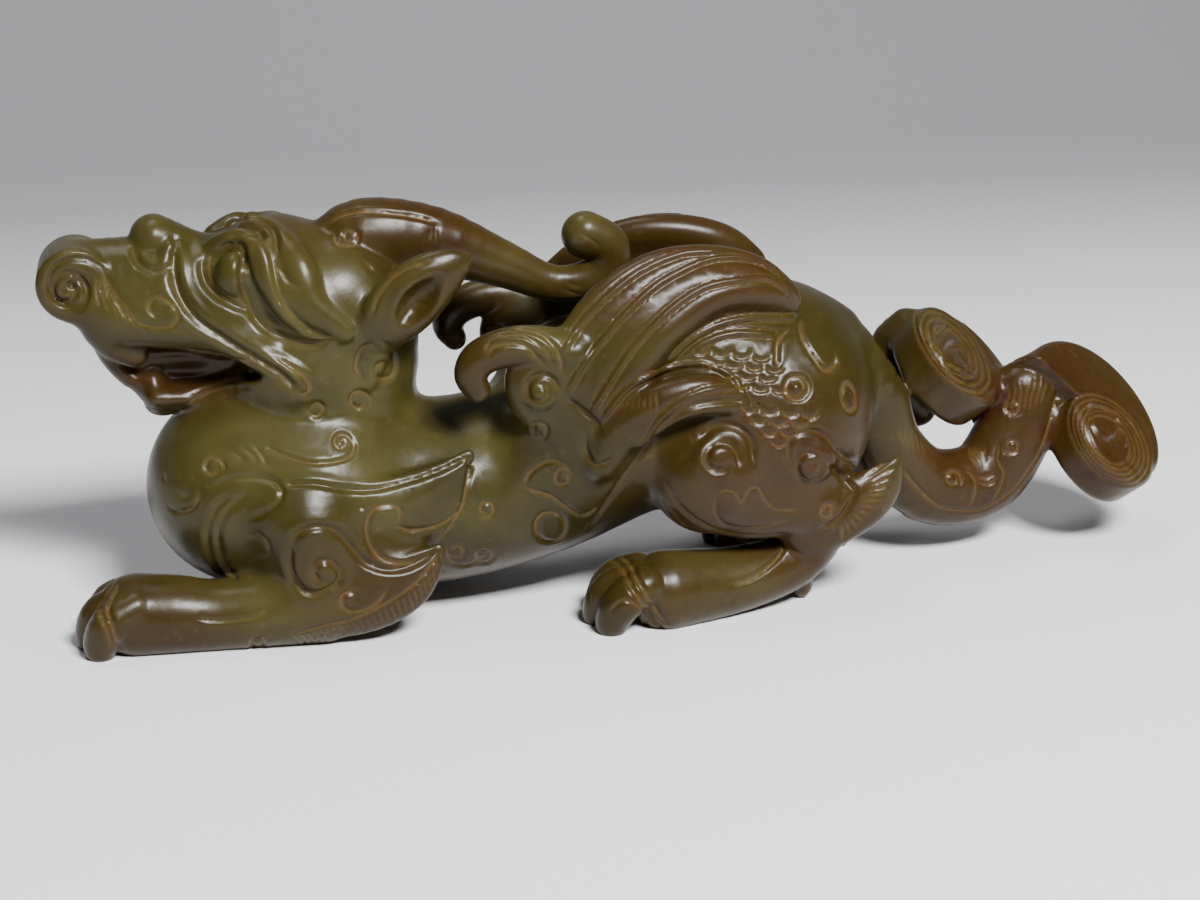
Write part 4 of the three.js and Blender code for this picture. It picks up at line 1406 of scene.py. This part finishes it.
    def skin(self) -> list[Patch]:
        """Brown skin on the feathers' ends, the short feather and the curl."""
        y = self.side.value
        return [
            Patch((8, y * 8, 36), (12, 8, 6), 0.85),
            Patch((6, y * 13, 25), (8, 4, 4), 0.6),
            Patch((-13, y * 10, 29), (5, 4, 4), 0.6),
        ]


@dataclass
class Tail:
    """The flat tail that dips, rises and ends in two rolled scrolls.

    Attributes:
        radius: half the height of the strip.
        thickness: half its width across the beast, as a share of that.
        scroll: the radius of a scroll.
        scroll_width: how wide a scroll is.
        turns: how often the strip goes round in a scroll.
        step: how deep the spiral step in a scroll's faces is.
    """

    radius: float = 4.5
    thickness: float = 0.74
    scroll: float = 6.6
    scroll_width: float = 5.4
    turns: float = 2
    step: float = 0.12

    def forms(self) -> list[Form]:
        """The forms of the tail and its scrolls."""
        ribbon = [
            [24, 0, 24.2, self.radius + 1.6],
            [30, 0.3, 19.4, self.radius - 0.6],
            [32.8, 1.2, 13.4, self.radius - 0.9],
            [37.6, 2.8, 8.2, self.radius - 0.2],
            [44.4, 4.4, 8, self.radius],
            [48.4, 5.6, 13, self.radius],
            [49.4, 6, 17, self.radius - 0.6],
        ]
        fold = [
            [36, 8.2, 25.4, 1.8],
            [34.8, 8.6, 22.4, 2.8],
            [35.4, 8.4, 18.6, 3.1],
            [37.6, 7.8, 15.8, 2.2],
        ]
        inner = Swelling(5.2, -60, -96, 1.1)
        outer = Swelling(7, 118, 185)
        size = (self.scroll, self.scroll_width, FIRM, self.turns, self.step)
        return [
            Strand(ribbon, FIRM, self.thickness),
            Roll([39.8, 5.2, 21.2], [0.65, -0.39, 0.65], *size, inner),
            Roll([58.3, 4.4, 11.5], [0.55, -0.54, 0.64], *size, outer),
            Strand(fold, FIRM),
        ]

    def strokes(self) -> list[Stroke]:
        """The border and the scrolls of the strip, and the fine rings of both coils."""
        border = [
            (903, 469), (915.6, 485), (936, 504), (957, 510), (985, 508), (1014, 489), (1035, 460),
            (1047, 432), (1055, 399), (1059, 374),
        ]
        left_tail = [(963, 468), (974, 478), (976, 489), (972, 507)]
        right_tail = [(1000, 444), (998, 460), (1004, 477), (994, 501)]
        links = [
            [(975, 477), (985, 479), (996, 473)],
            [(977, 483), (987, 485), (998, 479)],
        ]
        hub_right = ring((1105, 424), 19, 0.66, 53)
        hub_left = ring((960, 358), 15, 0.8, 53)
        coil_right = [ring((1109, 440), radius, 0.6, 53) for radius in range(28, 55, 6)]
        coil_left = [ring((952, 348), radius, 0.46, 53) for radius in range(26, 62, 9)]
        fold = [(935, 350), (938, 338), (944, 330), (950, 325)]
        near_lines = [
            [(899 + 5 * i, 428 + 2 * i), (903 + 5 * i, 440 + 2 * i), (905 + 5 * i, 452 + 2 * i)]
            for i in range(5)
        ]
        arm_lines = [
            [(1010 + 6 * i, 384 - 2 * i), (1009 + 6 * i, 400 - 2 * i), (1004 + 6 * i, 420 - 2 * i)]
            for i in range(7)
        ]
        fans = hatching([(969, 446), (977, 443), (985, 444)], [(972, 466), (977, 472), (984, 470)], 6)
        return [
            *worked([border], width=0.45, depth=0.22),
            *worked([spiral((953, 479), 4, 9, 60, 1.3), left_tail], width=0.45, far_shift=None),
            *worked([spiral((1012, 446), 3, 8, 180, 1.3), right_tail, *links], width=0.4, far_shift=None),
            *worked([spiral((1014, 407), 3, 9, 250, 1.3)], width=0.45, far_shift=None),
            *worked([*near_lines, *arm_lines, *fans], Mark.LINE, 0.35, 0.14, None),
            *worked([hub_right, hub_left], width=0.8, depth=0.4, far_shift=None),
            *worked([*coil_right, *coil_left], Mark.GROOVE, 0.36, 0.16, None),
            *worked([fold], width=0.7, depth=0.35, far_shift=None),
        ]

    def skin(self) -> list[Patch]:
        """The tail is brown all over, and its coils are the brownest."""
        return [Patch((52, 6, 14), (19, 12, 14), 0.95), Patch((42, 5, 10), (12, 10, 10), 0.95)]


@dataclass
class LaidStroke:
    """A stroke as it lies on the stone.

    Attributes:
        path: its points, in drawn millimetres.
        stroke: the stroke that it comes from.
    """

    path: Places
    stroke: Stroke


class Engraver:
    """Lays strokes on the stone and works out how they move its surface."""

    JUMP = 1.6  # a longer gap between two laid points is a step from one form to another
    LIP = 0.22  # how high the lip of a groove stands, as a share of its depth
    OUTSIDE = 0.75  # how far from the grid's middle a ray starts, as a share of half its diagonal
    MARCH = 150  # steps that a ray takes
    STRIDE = 0.9  # how much of the distance to the stone it takes in one step
    NEAR_ENOUGH = 0.1  # how near the surface a ray has to end, in millimetres
    FADE = 1.2  # over what length a stroke gets shallow at its ends, in millimetres
    WIDE = 0.65  # wider grooves than this, in millimetres, are wiped nearly clean of dirt

    def __init__(self, volume: Volume, viewpoint: Viewpoint) -> None:
        """Starts with a bare stone.

        Args:
            volume: distances round the stone.
            viewpoint: the place that the strokes are drawn from.
        """
        self.volume = volume
        self.viewpoint = viewpoint
        self.laid: list[LaidStroke] = []

    def meet(self, eyes: Places, rays: Places) -> tuple[Places, np.ndarray]:
        """Follows rays until they meet the stone.

        Args:
            eyes: where the rays start.
            rays: their directions.

        Returns:
            Where each ray ends, and whether it met the stone.
        """
        high = self.volume.low + np.array(self.volume.values.shape) * self.volume.step
        middle = (self.volume.low + high) / 2
        start = np.maximum(0, length_of(eyes - middle) - np.linalg.norm(high - middle) * self.OUTSIDE)
        points = eyes + rays * start[:, None]
        for _ in range(self.MARCH):
            outside = np.any((points < self.volume.low) | (points > high), axis=1)
            ahead = np.where(outside, 1.0, self.volume.at(points))
            points = points + rays * (ahead * self.STRIDE)[:, None]
        return points, np.abs(self.volume.at(points)) < self.NEAR_ENOUGH

    def lay(self, strokes: Iterable[Stroke]) -> None:
        """Lays strokes on the near side and their twins on the far side.

        Args:
            strokes: the strokes.
        """
        strokes = list(strokes)
        flat = [stroke.drawn() for stroke in strokes]
        rays = self.viewpoint.rays(np.concatenate(flat))
        ends = np.cumsum([len(points) for points in flat])[:-1]
        for side in Side:
            flip = np.array([1, -side.value, 1])
            shifts = np.concatenate([np.full(len(p), s.far_shift or 0) for p, s in zip(flat, strokes)])
            eyes = np.tile(self.viewpoint.eye * flip, (len(rays), 1))
            if side is Side.FAR:
                eyes[:, 0] += shifts
            points, met = self.meet(eyes, rays * flip)
            for stroke, path, hit in zip(strokes, np.split(points, ends), np.split(met, ends)):
                if side is Side.NEAR or stroke.far_shift is not None:
                    self.keep(stroke, path, hit)

    def keep(self, stroke: Stroke, path: Places, hit: np.ndarray) -> None:
        """Keeps the stretches of a path that lie on one form.

        Args:
            stroke: the stroke that was laid.
            path: its points.
            hit: whether each point met the stone.
        """
        gaps = length_of(np.diff(path, axis=0))
        broken = (gaps > self.JUMP) | ~hit[1:] | ~hit[:-1]
        for part in np.split(np.arange(len(path)), np.flatnonzero(broken) + 1):
            if len(part) > 2:
                self.laid.append(LaidStroke(path[part], stroke))

    def press(self, points: Places) -> tuple[np.ndarray, np.ndarray]:
        """Works out how the laid strokes move points of the surface.

        Args:
            points: corners of the surface.

        Returns:
            How far each point moves out, and how much of a cut it lies in, from 0 to 1.
        """
        rise = np.zeros(len(points))
        sink = np.zeros(len(points))
        cut = np.zeros(len(points))
        order = np.argsort(points[:, 0])
        along = points[order, 0]
        for laid in self.laid:
            reach = laid.stroke.width * 3 + 0.2
            low, high = laid.path.min(0) - reach, laid.path.max(0) + reach
            some = order[np.searchsorted(along, low[0]) : np.searchsorted(along, high[0])]
            inside = np.all((points[some, 1:] > low[1:]) & (points[some, 1:] < high[1:]), axis=1)
            some = some[inside]
            if len(some) == 0:
                continue
            gap, end = self.nearest(laid, points[some])
            up, down, dark = self.profile(laid, gap, end)
            rise[some] = np.maximum(rise[some], up)
            sink[some] = np.maximum(sink[some], down)
            cut[some] = np.maximum(cut[some], dark)
        return rise - sink, cut

    def nearest(self, laid: LaidStroke, points: Places) -> tuple[np.ndarray, np.ndarray]:
        """Finds the nearest place on a laid stroke.

        Args:
            laid: the stroke.
            points: points of the surface.

        Returns:
            The gap to it, and how far that place lies from the stroke's nearer end.
        """
        starts, ends = laid.path[:-1], laid.path[1:]
        spans = ends - starts
        lengths = np.maximum(length_of(spans), 1e-6)
        travelled = np.concatenate([[0], np.cumsum(lengths)])
        least = np.full(len(points), FAR_AWAY)
        where = np.zeros(len(points))
        for start, span, length, before in zip(starts, spans, lengths, travelled):
            gap = points - start
            share = np.clip(gap @ span / length**2, 0, 1)
            away = length_of(gap - share[:, None] * span)
            closer = away < least
            least[closer] = away[closer]
            where[closer] = before + share[closer] * length
        return least, np.minimum(where, travelled[-1] - where)

    def profile(self, laid: LaidStroke, gap: np.ndarray, end: np.ndarray) -> tuple[np.ndarray, ...]:
        """The cross-section of a stroke.

        Args:
            laid: the stroke as it lies on the stone.
            gap: distance from the stroke.
            end: distance from its nearer end, along it.

        Returns:
            How far the surface rises, how far it sinks, and how dark it is with old dirt.
        """
        stroke = laid.stroke
        across = gap / (stroke.width / 2)
        ends_meet = np.linalg.norm(laid.path[0] - laid.path[-1]) < stroke.width
        taper = 1.0 if ends_meet else np.clip(0.25 + end / self.FADE, 0, 1)
        valley = np.exp(-((across * 1.1) ** 2)) * taper
        lips = np.exp(-(((across - 2.2) / 1.1) ** 2)) * taper
        if stroke.mark is Mark.LINE:
            return 0 * gap, stroke.depth * valley, 0.7 * valley**2
        if stroke.mark is Mark.GROOVE:
            dirt = valley**2 * (1 if stroke.width < self.WIDE else 0.3)
            return self.LIP * stroke.depth * lips, stroke.depth * valley, dirt
        if stroke.mark is Mark.PIT:
            return 0 * gap, stroke.depth * np.clip(1.3 - across**2, 0, 1), np.clip(1.2 - across, 0, 1)
        band = np.sqrt(np.clip(1 - across**2, 0, 1))
        edge = np.exp(-(((across - 1.15) / 0.35) ** 2)) * taper
        if stroke.mark is Mark.BOSS:
            band = np.clip(1 - across**2, 0, 1) ** 0.7
        return stroke.depth * band * taper, 0.5 * stroke.depth * edge, 0.5 * edge


def attribute(tree: Tree, name: str) -> Socket:
    """Reads a number that is kept at each corner of the mesh.

    Args:
        tree: the material's nodes.
        name: what the number is called.

    Returns:
        The socket that gives it.
    """
    node = tree.nodes.new("ShaderNodeAttribute")
    node.attribute_name = name
    return node.outputs["Fac"]


def noise(tree: Tree, scale: float, detail: float, rough: float) -> Socket:
    """Puts cloudy noise through the stone.

    Args:
        tree: the material's nodes.
        scale: how fine it is.
        detail: how many finer layers it has.
        rough: how strong the finer layers are.

    Returns:
        The socket that gives it.
    """
    place = tree.nodes.new("ShaderNodeTexCoord")
    node = tree.nodes.new("ShaderNodeTexNoise")
    node.inputs["Scale"].default_value = scale
    node.inputs["Detail"].default_value = detail
    node.inputs["Roughness"].default_value = rough
    tree.links.new(place.outputs["Object"], node.inputs["Vector"])
    return node.outputs["Fac"]


def ramp(tree: Tree, value: Socket, low: float, high: float) -> Socket:
    """Stretches a value.

    Args:
        tree: the material's nodes.
        value: the socket that gives it.
        low: what becomes 0.
        high: what becomes 1.

    Returns:
        The socket that gives the stretched value.
    """
    node = tree.nodes.new("ShaderNodeMapRange")
    node.interpolation_type = "SMOOTHSTEP"
    node.inputs["From Min"].default_value = low
    node.inputs["From Max"].default_value = high
    tree.links.new(value, node.inputs["Value"])
    return node.outputs["Result"]


def product(tree: Tree, one: Socket, two: Socket | float) -> Socket:
    """Multiplies two values.

    Args:
        tree: the material's nodes.
        one: the socket that gives the first.
        two: the second, or the socket that gives it.

    Returns:
        The socket that gives their product.
    """
    node = tree.nodes.new("ShaderNodeMath")
    node.operation = "MULTIPLY"
    tree.links.new(one, node.inputs[0])
    if isinstance(two, float):
        node.inputs[1].default_value = two
    else:
        tree.links.new(two, node.inputs[1])
    return node.outputs[0]


def blend(tree: Tree, share: Socket, one: Socket | Colour, two: Socket | Colour) -> Socket:
    """Goes from one colour to another.

    Args:
        tree: the material's nodes.
        share: the socket that gives how much of the second there is.
        one: the first colour, or the socket that gives it.
        two: the second colour, or the socket that gives it.

    Returns:
        The socket that gives the blend.
    """
    node = tree.nodes.new("ShaderNodeMix")
    node.data_type = "RGBA"
    tree.links.new(share, node.inputs["Factor"])
    for name, value in (("A", one), ("B", two)):
        socket = [each for each in node.inputs if each.name == name and each.type == "RGBA"][0]
        if isinstance(value, tuple):
            socket.default_value = value
        else:
            tree.links.new(value, socket)
    return [each for each in node.outputs if each.type == "RGBA"][0]


@dataclass(frozen=True)
class Jade:
    """The polished stone: olive green, with a brown skin that the carver left on its high parts.

    Attributes:
        green: the clear stone.
        pale: the cloudy stone.
        brown: the skin.
        rust: the reddest skin.
        dirt: old dirt in the cuts.
        roughness: of the polish.
        gloss: how strongly the polish mirrors.
        glow: how much of the light sinks into the stone.
        glow_reach: how far it sinks in, in metres.
        waviness: how strong the last unevenness of the polish is.
        flecks: how clearly the pale flecks show.
        dirt_share: how clearly the dirt in the cuts shows.
    """

    green: tuple[float, float, float] = (0.024, 0.0186, 0.0034)
    pale: tuple[float, float, float] = (0.052, 0.043, 0.012)
    brown: tuple[float, float, float] = (0.03, 0.0135, 0.0028)
    rust: tuple[float, float, float] = (0.022, 0.007, 0.002)
    dirt: tuple[float, float, float] = (0.12, 0.072, 0.022)
    roughness: float = 0.31
    gloss: float = 0.2
    glow: float = 0.25
    glow_reach: float = 0.0025
    waviness: float = 0.06
    flecks: float = 0.13
    dirt_share: float = 0.5

    def material(self) -> bpy.types.Material:
        """Builds the stone's material."""
        material = bpy.data.materials.new("polished_jade")
        material.use_nodes = True
        tree = material.node_tree
        shader = tree.nodes["Principled BSDF"]
        colour = self.cloudy(tree)
        skin = attribute(tree, "skin")
        colour = blend(tree, skin, colour, (*self.brown, 1))
        flecks = ramp(tree, noise(tree, 900, 2, 0.5), 0.64, 0.72)
        colour = blend(tree, product(tree, flecks, self.flecks), colour, (*self.dirt, 1))
        rust = noise(tree, 160, 5, 0.62)
        rust = ramp(tree, rust, 0.5, 0.72)
        rust = product(tree, rust, skin)
        colour = blend(tree, rust, colour, (*self.rust, 1))
        cut = attribute(tree, "cut")
        cut = product(tree, cut, self.dirt_share)
        colour = blend(tree, cut, colour, (*self.dirt, 1))
        tree.links.new(colour, shader.inputs["Base Color"])
        shader.inputs["Roughness"].default_value = self.roughness
        shader.inputs["IOR"].default_value = 1.5
        shader.inputs["Specular IOR Level"].default_value = self.gloss
        shader.inputs["Subsurface Weight"].default_value = self.glow
        shader.inputs["Subsurface Radius"].default_value = (1.0, 0.8, 0.35)
        shader.inputs["Subsurface Scale"].default_value = self.glow_reach
        bump = tree.nodes.new("ShaderNodeBump")
        bump.inputs["Strength"].default_value = self.waviness
        bump.inputs["Distance"].default_value = 0.0006
        tree.links.new(noise(tree, 700, 3, 0.5), bump.inputs["Height"])
        tree.links.new(bump.outputs["Normal"], shader.inputs["Normal"])
        return material

    def cloudy(self, tree: Tree) -> Socket:
        """Clear and cloudy green in soft patches."""
        clouds = ramp(tree, noise(tree, 55, 4, 0.55), 0.38, 0.68)
        return blend(tree, clouds, (*self.green, 1), (*self.pale, 1))


@dataclass
class Beast:
    """The whole carving, as one mesh that stands for the stone's node.

    Attributes:
        step: the gap between grid points, in drawn millimetres.
        triangles: how many the finished mesh may have.
        node: the node that it stands for.
        forelegs: the near front leg and the far one.
        hindlegs: the near hind leg and the far one.
    """

    step: float = 0.2
    triangles: int = 195000
    node: str = "jade_beast"
    forelegs: tuple[Foreleg, Foreleg] = (Foreleg(Side.NEAR, -30, -49.5), Foreleg(Side.FAR, -23, -32))
    hindlegs: tuple[Hindleg, Hindleg] = (Hindleg(Side.NEAR, 11, 20.6, 2), Hindleg(Side.FAR, 15, 29, 19.5))

    def parts(self) -> list[Part]:
        """The parts that are joined into the stone, in order."""
        legs = [*self.forelegs, *self.hindlegs]
        return [Trunk(), *legs, Head(), HornAndEars(), *(Wing(side) for side in Side), Tail()]

    def sculpture(self) -> Sculpture:
        """All the forms, in order."""
        stone = Sculpture()
        for part in self.parts():
            stone.add(part.forms())
        return stone

    def strokes(self) -> list[Stroke]:
        """All the engraved lines, as the near side shows them."""
        lines = [*Trunk().strokes(), *Head().strokes(), *HornAndEars().strokes()]
        lines += [*Wing(Side.NEAR).strokes(), *Tail().strokes()]
        for near, far in (self.forelegs, self.hindlegs):
            lines += near.strokes(far)
        return lines

    def build(self) -> tuple[bpy.types.Object, Vector]:
        """Builds the stone, engraves it and puts it where the node is.

        Returns:
            The mesh object, and how far it was moved from where its forms are drawn, in metres.
        """
        step = self.step * 1
        volume = self.sculpture().sample(step)
        points, quads = volume.surface()
        LOG.info("stone: %d corners on a grid of %s", len(points), volume.values.shape)
        points[:, 2] = np.maximum(points[:, 2], 0)
        engraver = Engraver(volume, Viewpoint())
        engraver.lay(self.strokes())
        normals = volume.slope(points)
        rise, cut = engraver.press(points)
        LOG.info("engraving: %d strokes laid, %d corners moved", len(engraver.laid), np.count_nonzero(rise))
        points = points + normals * rise[:, None]
        shift = self.shift(points)
        return self.mesh(points, quads, cut, shift), shift

    def shift(self, points: Places) -> Vector:
        """Works out how far the stone moves so that its box fits the box of the solid.

        Args:
            points: its corners, in drawn millimetres.

        Returns:
            The way that it moves, in metres.
        """
        drawn = (points.min(0) + points.max(0)) / 2 * UNIT
        moved = (CAD_LOW + CAD_HIGH) / 2 - Vector(drawn)
        return Vector((moved.x, moved.y, CAD_LOW.z))

    def mesh(self, points: Places, quads: np.ndarray, cut: np.ndarray, shift: Vector) -> bpy.types.Object:
        """Makes the mesh object, dresses it and puts it in the row's frame.

        Args:
            points: its corners, in drawn millimetres.
            quads: its faces.
            cut: how much of a cut each corner lies in.
            shift: how far it moves, in metres.

        Returns:
            The mesh object.
        """
        places = points * UNIT + np.array(shift)
        mesh = bpy.data.meshes.new("carved_stone")
        mesh.vertices.add(len(places))
        mesh.vertices.foreach_set("co", places.astype(np.float32).ravel())
        mesh.loops.add(quads.size)
        mesh.loops.foreach_set("vertex_index", quads.astype(np.int32).ravel())
        mesh.polygons.add(len(quads))
        mesh.polygons.foreach_set("loop_start", np.arange(0, quads.size, 4, dtype=np.int32))
        mesh.update(calc_edges=True)
        self.paint(mesh, points, cut)
        stone = bpy.data.objects.new("carved_stone", mesh)
        bpy.context.scene.collection.objects.link(stone)
        self.thin(stone, len(quads))
        self.drop_bubbles(stone.data)
        stone.data.polygons.foreach_set("use_smooth", np.ones(len(stone.data.polygons), bool))
        stone.data.materials.append(Jade().material())
        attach(stone, "root")
        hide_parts(self.node)
        LOG.info("%s: %d faces", stone.name, len(stone.data.polygons))
        return stone

    def paint(self, mesh: bpy.types.Mesh, points: Places, cut: np.ndarray) -> None:
        """Keeps at each corner how deep it lies in a cut and how much brown skin it has.

        Args:
            mesh: the mesh.
            points: its corners, in drawn millimetres.
            cut: how much of a cut each corner lies in.
        """
        skin = np.zeros(len(points))
        for patch in (patch for part in self.parts() for patch in part.skin()):
            skin = np.maximum(skin, patch.share(points))
        for name, values in (("cut", cut), ("skin", skin)):
            layer = mesh.attributes.new(name, "FLOAT", "POINT")
            layer.data.foreach_set("value", values.astype(np.float32))

    def thin(self, stone: bpy.types.Object, quads: int) -> None:
        """Thins the mesh out where the surface is plain.

        Args:
            stone: the mesh object.
            quads: how many faces it has.
        """
        thinner = stone.modifiers.new("thin", "DECIMATE")
        thinner.ratio = min(1.0, self.triangles / (2 * quads))
        graph = bpy.context.evaluated_depsgraph_get()
        stone.data = bpy.data.meshes.new_from_object(stone.evaluated_get(graph))
        stone.modifiers.clear()

    def drop_bubbles(self, mesh: bpy.types.Mesh) -> None:
        """Takes away what hangs together with nothing, as a bubble that the grid leaves in the stone.

        Args:
            mesh: the mesh that keeps its largest surface.
        """
        edges = np.empty(2 * len(mesh.edges), np.int32)
        mesh.edges.foreach_get("vertices", edges)
        group = np.arange(len(mesh.vertices))
        settled = False
        while not settled:
            least = group[edges.reshape(-1, 2)].min(1)
            joined = group.copy()
            np.minimum.at(joined, edges, np.repeat(least, 2))
            joined = joined[joined]
            settled = np.array_equal(joined, group)
            group = joined
        names, counts = np.unique(group, return_counts=True)
        work = bmesh.new()
        work.from_mesh(mesh)
        work.verts.ensure_lookup_table()
        stray = [work.verts[i] for i in np.flatnonzero(group != names[counts.argmax()])]
        bmesh.ops.delete(work, geom=stray, context="VERTS")
        work.to_mesh(mesh)
        work.free()


@dataclass(frozen=True)
class Lamp:
    """A soft lamp that faces the stone.

    Attributes:
        name: its name.
        place: where it hangs, in metres.
        size: its width and height, in metres.
        power: its power, in watts.
    """

    AIM: ClassVar[Vector] = Vector((0, 0, 0.02))

    name: str
    place: tuple[float, float, float]
    size: tuple[float, float]
    power: float

    def hang(self) -> None:
        """Adds the lamp to the scene."""
        data = bpy.data.lights.new(self.name, "AREA")
        data.shape = "RECTANGLE"
        data.size, data.size_y = self.size
        data.energy = self.power
        lamp = bpy.data.objects.new(self.name, data)
        bpy.context.scene.collection.objects.link(lamp)
        lamp.location = self.place
        lamp.rotation_mode = "QUATERNION"
        lamp.rotation_quaternion = (self.AIM - Vector(self.place)).to_track_quat("-Z", "Y")


@dataclass(frozen=True)
class Paper:
    """Pale paper with painted shade: its colour gets darker towards the back, where the lamps' light falls
    off.

    Attributes:
        pale: its colour under the stone.
        dim: its colour far behind, painted shade for the lamps' light falling off.
        shade_fade: between which places along Y the painted shade darkens it, in metres.
        roughness: of its surface.
    """

    pale: tuple[float, float, float] = (0.74, 0.74, 0.76)
    dim: tuple[float, float, float] = (0.3, 0.3, 0.31)
    shade_fade: tuple[float, float] = (0.04, 0.24)
    roughness: float = 0.9

    def material(self) -> bpy.types.Material:
        """Builds the paper's material."""
        material = bpy.data.materials.new("pale_paper")
        material.use_nodes = True
        tree = material.node_tree
        shader = tree.nodes["Principled BSDF"]
        shader.inputs["Roughness"].default_value = self.roughness
        place = tree.nodes.new("ShaderNodeTexCoord")
        split = tree.nodes.new("ShaderNodeSeparateXYZ")
        tree.links.new(place.outputs["Object"], split.inputs["Vector"])
        # Painted shade: the paper's colour goes from pale to dim towards the back, standing in for the
        # lamps' light falling off.
        back = ramp(tree, split.outputs["Y"], *self.shade_fade)
        shade = blend(tree, back, (*self.pale, 1), (*self.dim, 1))
        tree.links.new(shade, shader.inputs["Base Color"])
        return material


@dataclass
class Studio:
    """A plain pale floor, soft lights and the camera.

    Attributes:
        sensor: the width of the camera's sensor, in millimetres.
        clip: how near and how far the camera sees, in metres.
        reach: how far behind the stone the floor stays flat, in metres.
        bend: the radius with which it turns up there.
        height: of the backdrop.
        front: how far the floor comes to the front.
        half_width: of the floor.
        steps: how many flat strips the bend has.
        lamps: the lamps.
        room: the colour of the dim room.
        room_light: how strongly the room shines.
    """

    sensor: float = 36
    clip: tuple[float, float] = (0.01, 20)
    reach: float = 0.2
    bend: float = 0.3
    height: float = 1.4
    front: float = -1.2
    half_width: float = 2.5
    steps: int = 16
    lamps: tuple[Lamp, ...] = (
        Lamp("lamp_front", (0.12, -0.37, 0.42), (0.18, 0.12), 8.8),
        Lamp("lamp_above", (-0.1, 0.08, 0.55), (0.26, 0.16), 0.9),
    )
    room: tuple[float, float, float] = (0.6, 0.62, 0.65)
    room_light: float = 0.08

    def camera(self, shift: Vector) -> None:
        """Puts the camera where the picture was taken from.

        Args:
            shift: how far the stone was moved from where it is drawn, in metres.
        """
        viewpoint = Viewpoint()
        data = bpy.data.cameras.new("camera")
        data.sensor_width = self.sensor
        data.lens = self.sensor / 2 / math.tan(math.radians(viewpoint.field_of_view / 2))
        data.clip_start, data.clip_end = self.clip
        camera = bpy.data.objects.new("camera", data)
        bpy.context.scene.collection.objects.link(camera)
        camera.location = Vector(viewpoint.eye) * UNIT + shift
        camera.rotation_mode = "QUATERNION"
        camera.rotation_quaternion = Vector(-viewpoint.back).to_track_quat("-Z", "Y")
        bpy.context.scene.camera = camera

    def lights(self) -> None:
        """Hangs the lamps and sets the dim grey room."""
        for lamp in self.lamps:
            lamp.hang()
        world = bpy.data.worlds.new("room")
        bpy.context.scene.world = world
        world.use_nodes = True
        background = world.node_tree.nodes["Background"]
        background.inputs["Color"].default_value = (*self.room, 1)
        background.inputs["Strength"].default_value = self.room_light

    def floor(self) -> None:
        """Lays the pale floor, which rises into a backdrop far behind."""
        profile = [(self.front, 0.0), (self.reach, 0.0)]
        for i in range(1, self.steps + 1):
            turn = math.pi / 2 * i / self.steps
            back = self.reach + self.bend * math.sin(turn)
            profile.append((back, self.bend * (1 - math.cos(turn))))
        profile.append((self.reach + self.bend, self.height))
        corners = [(x, y, z) for y, z in profile for x in (-self.half_width, self.half_width)]
        faces = [(2 * i, 2 * i + 1, 2 * i + 3, 2 * i + 2) for i in range(len(profile) - 1)]
        mesh = bpy.data.meshes.new("floor")
        mesh.from_pydata(corners, [], faces)
        mesh.polygons.foreach_set("use_smooth", np.ones(len(faces), bool))
        mesh.materials.append(Paper().material())
        floor = bpy.data.objects.new("floor", mesh)
        bpy.context.scene.collection.objects.link(floor)

    def build(self, shift: Vector) -> None:
        """Sets up the camera, the lights and the floor.

        Args:
            shift: how far the stone was moved from where it is drawn, in metres.
        """
        self.camera(shift)
        self.lights()
        self.floor()


def main() -> None:
    """Builds the beast and its studio, and reports them."""
    logging.basicConfig(level=logging.INFO, format="%(name)s: %(message)s")
    beast = Beast()
    stone, shift = beast.build()
    LOG.info("%s stands for %s", stone.name, beast.node)
    Studio().build(shift)
    LOG.info("studio ready")


if __name__ == "__main__":
    main()
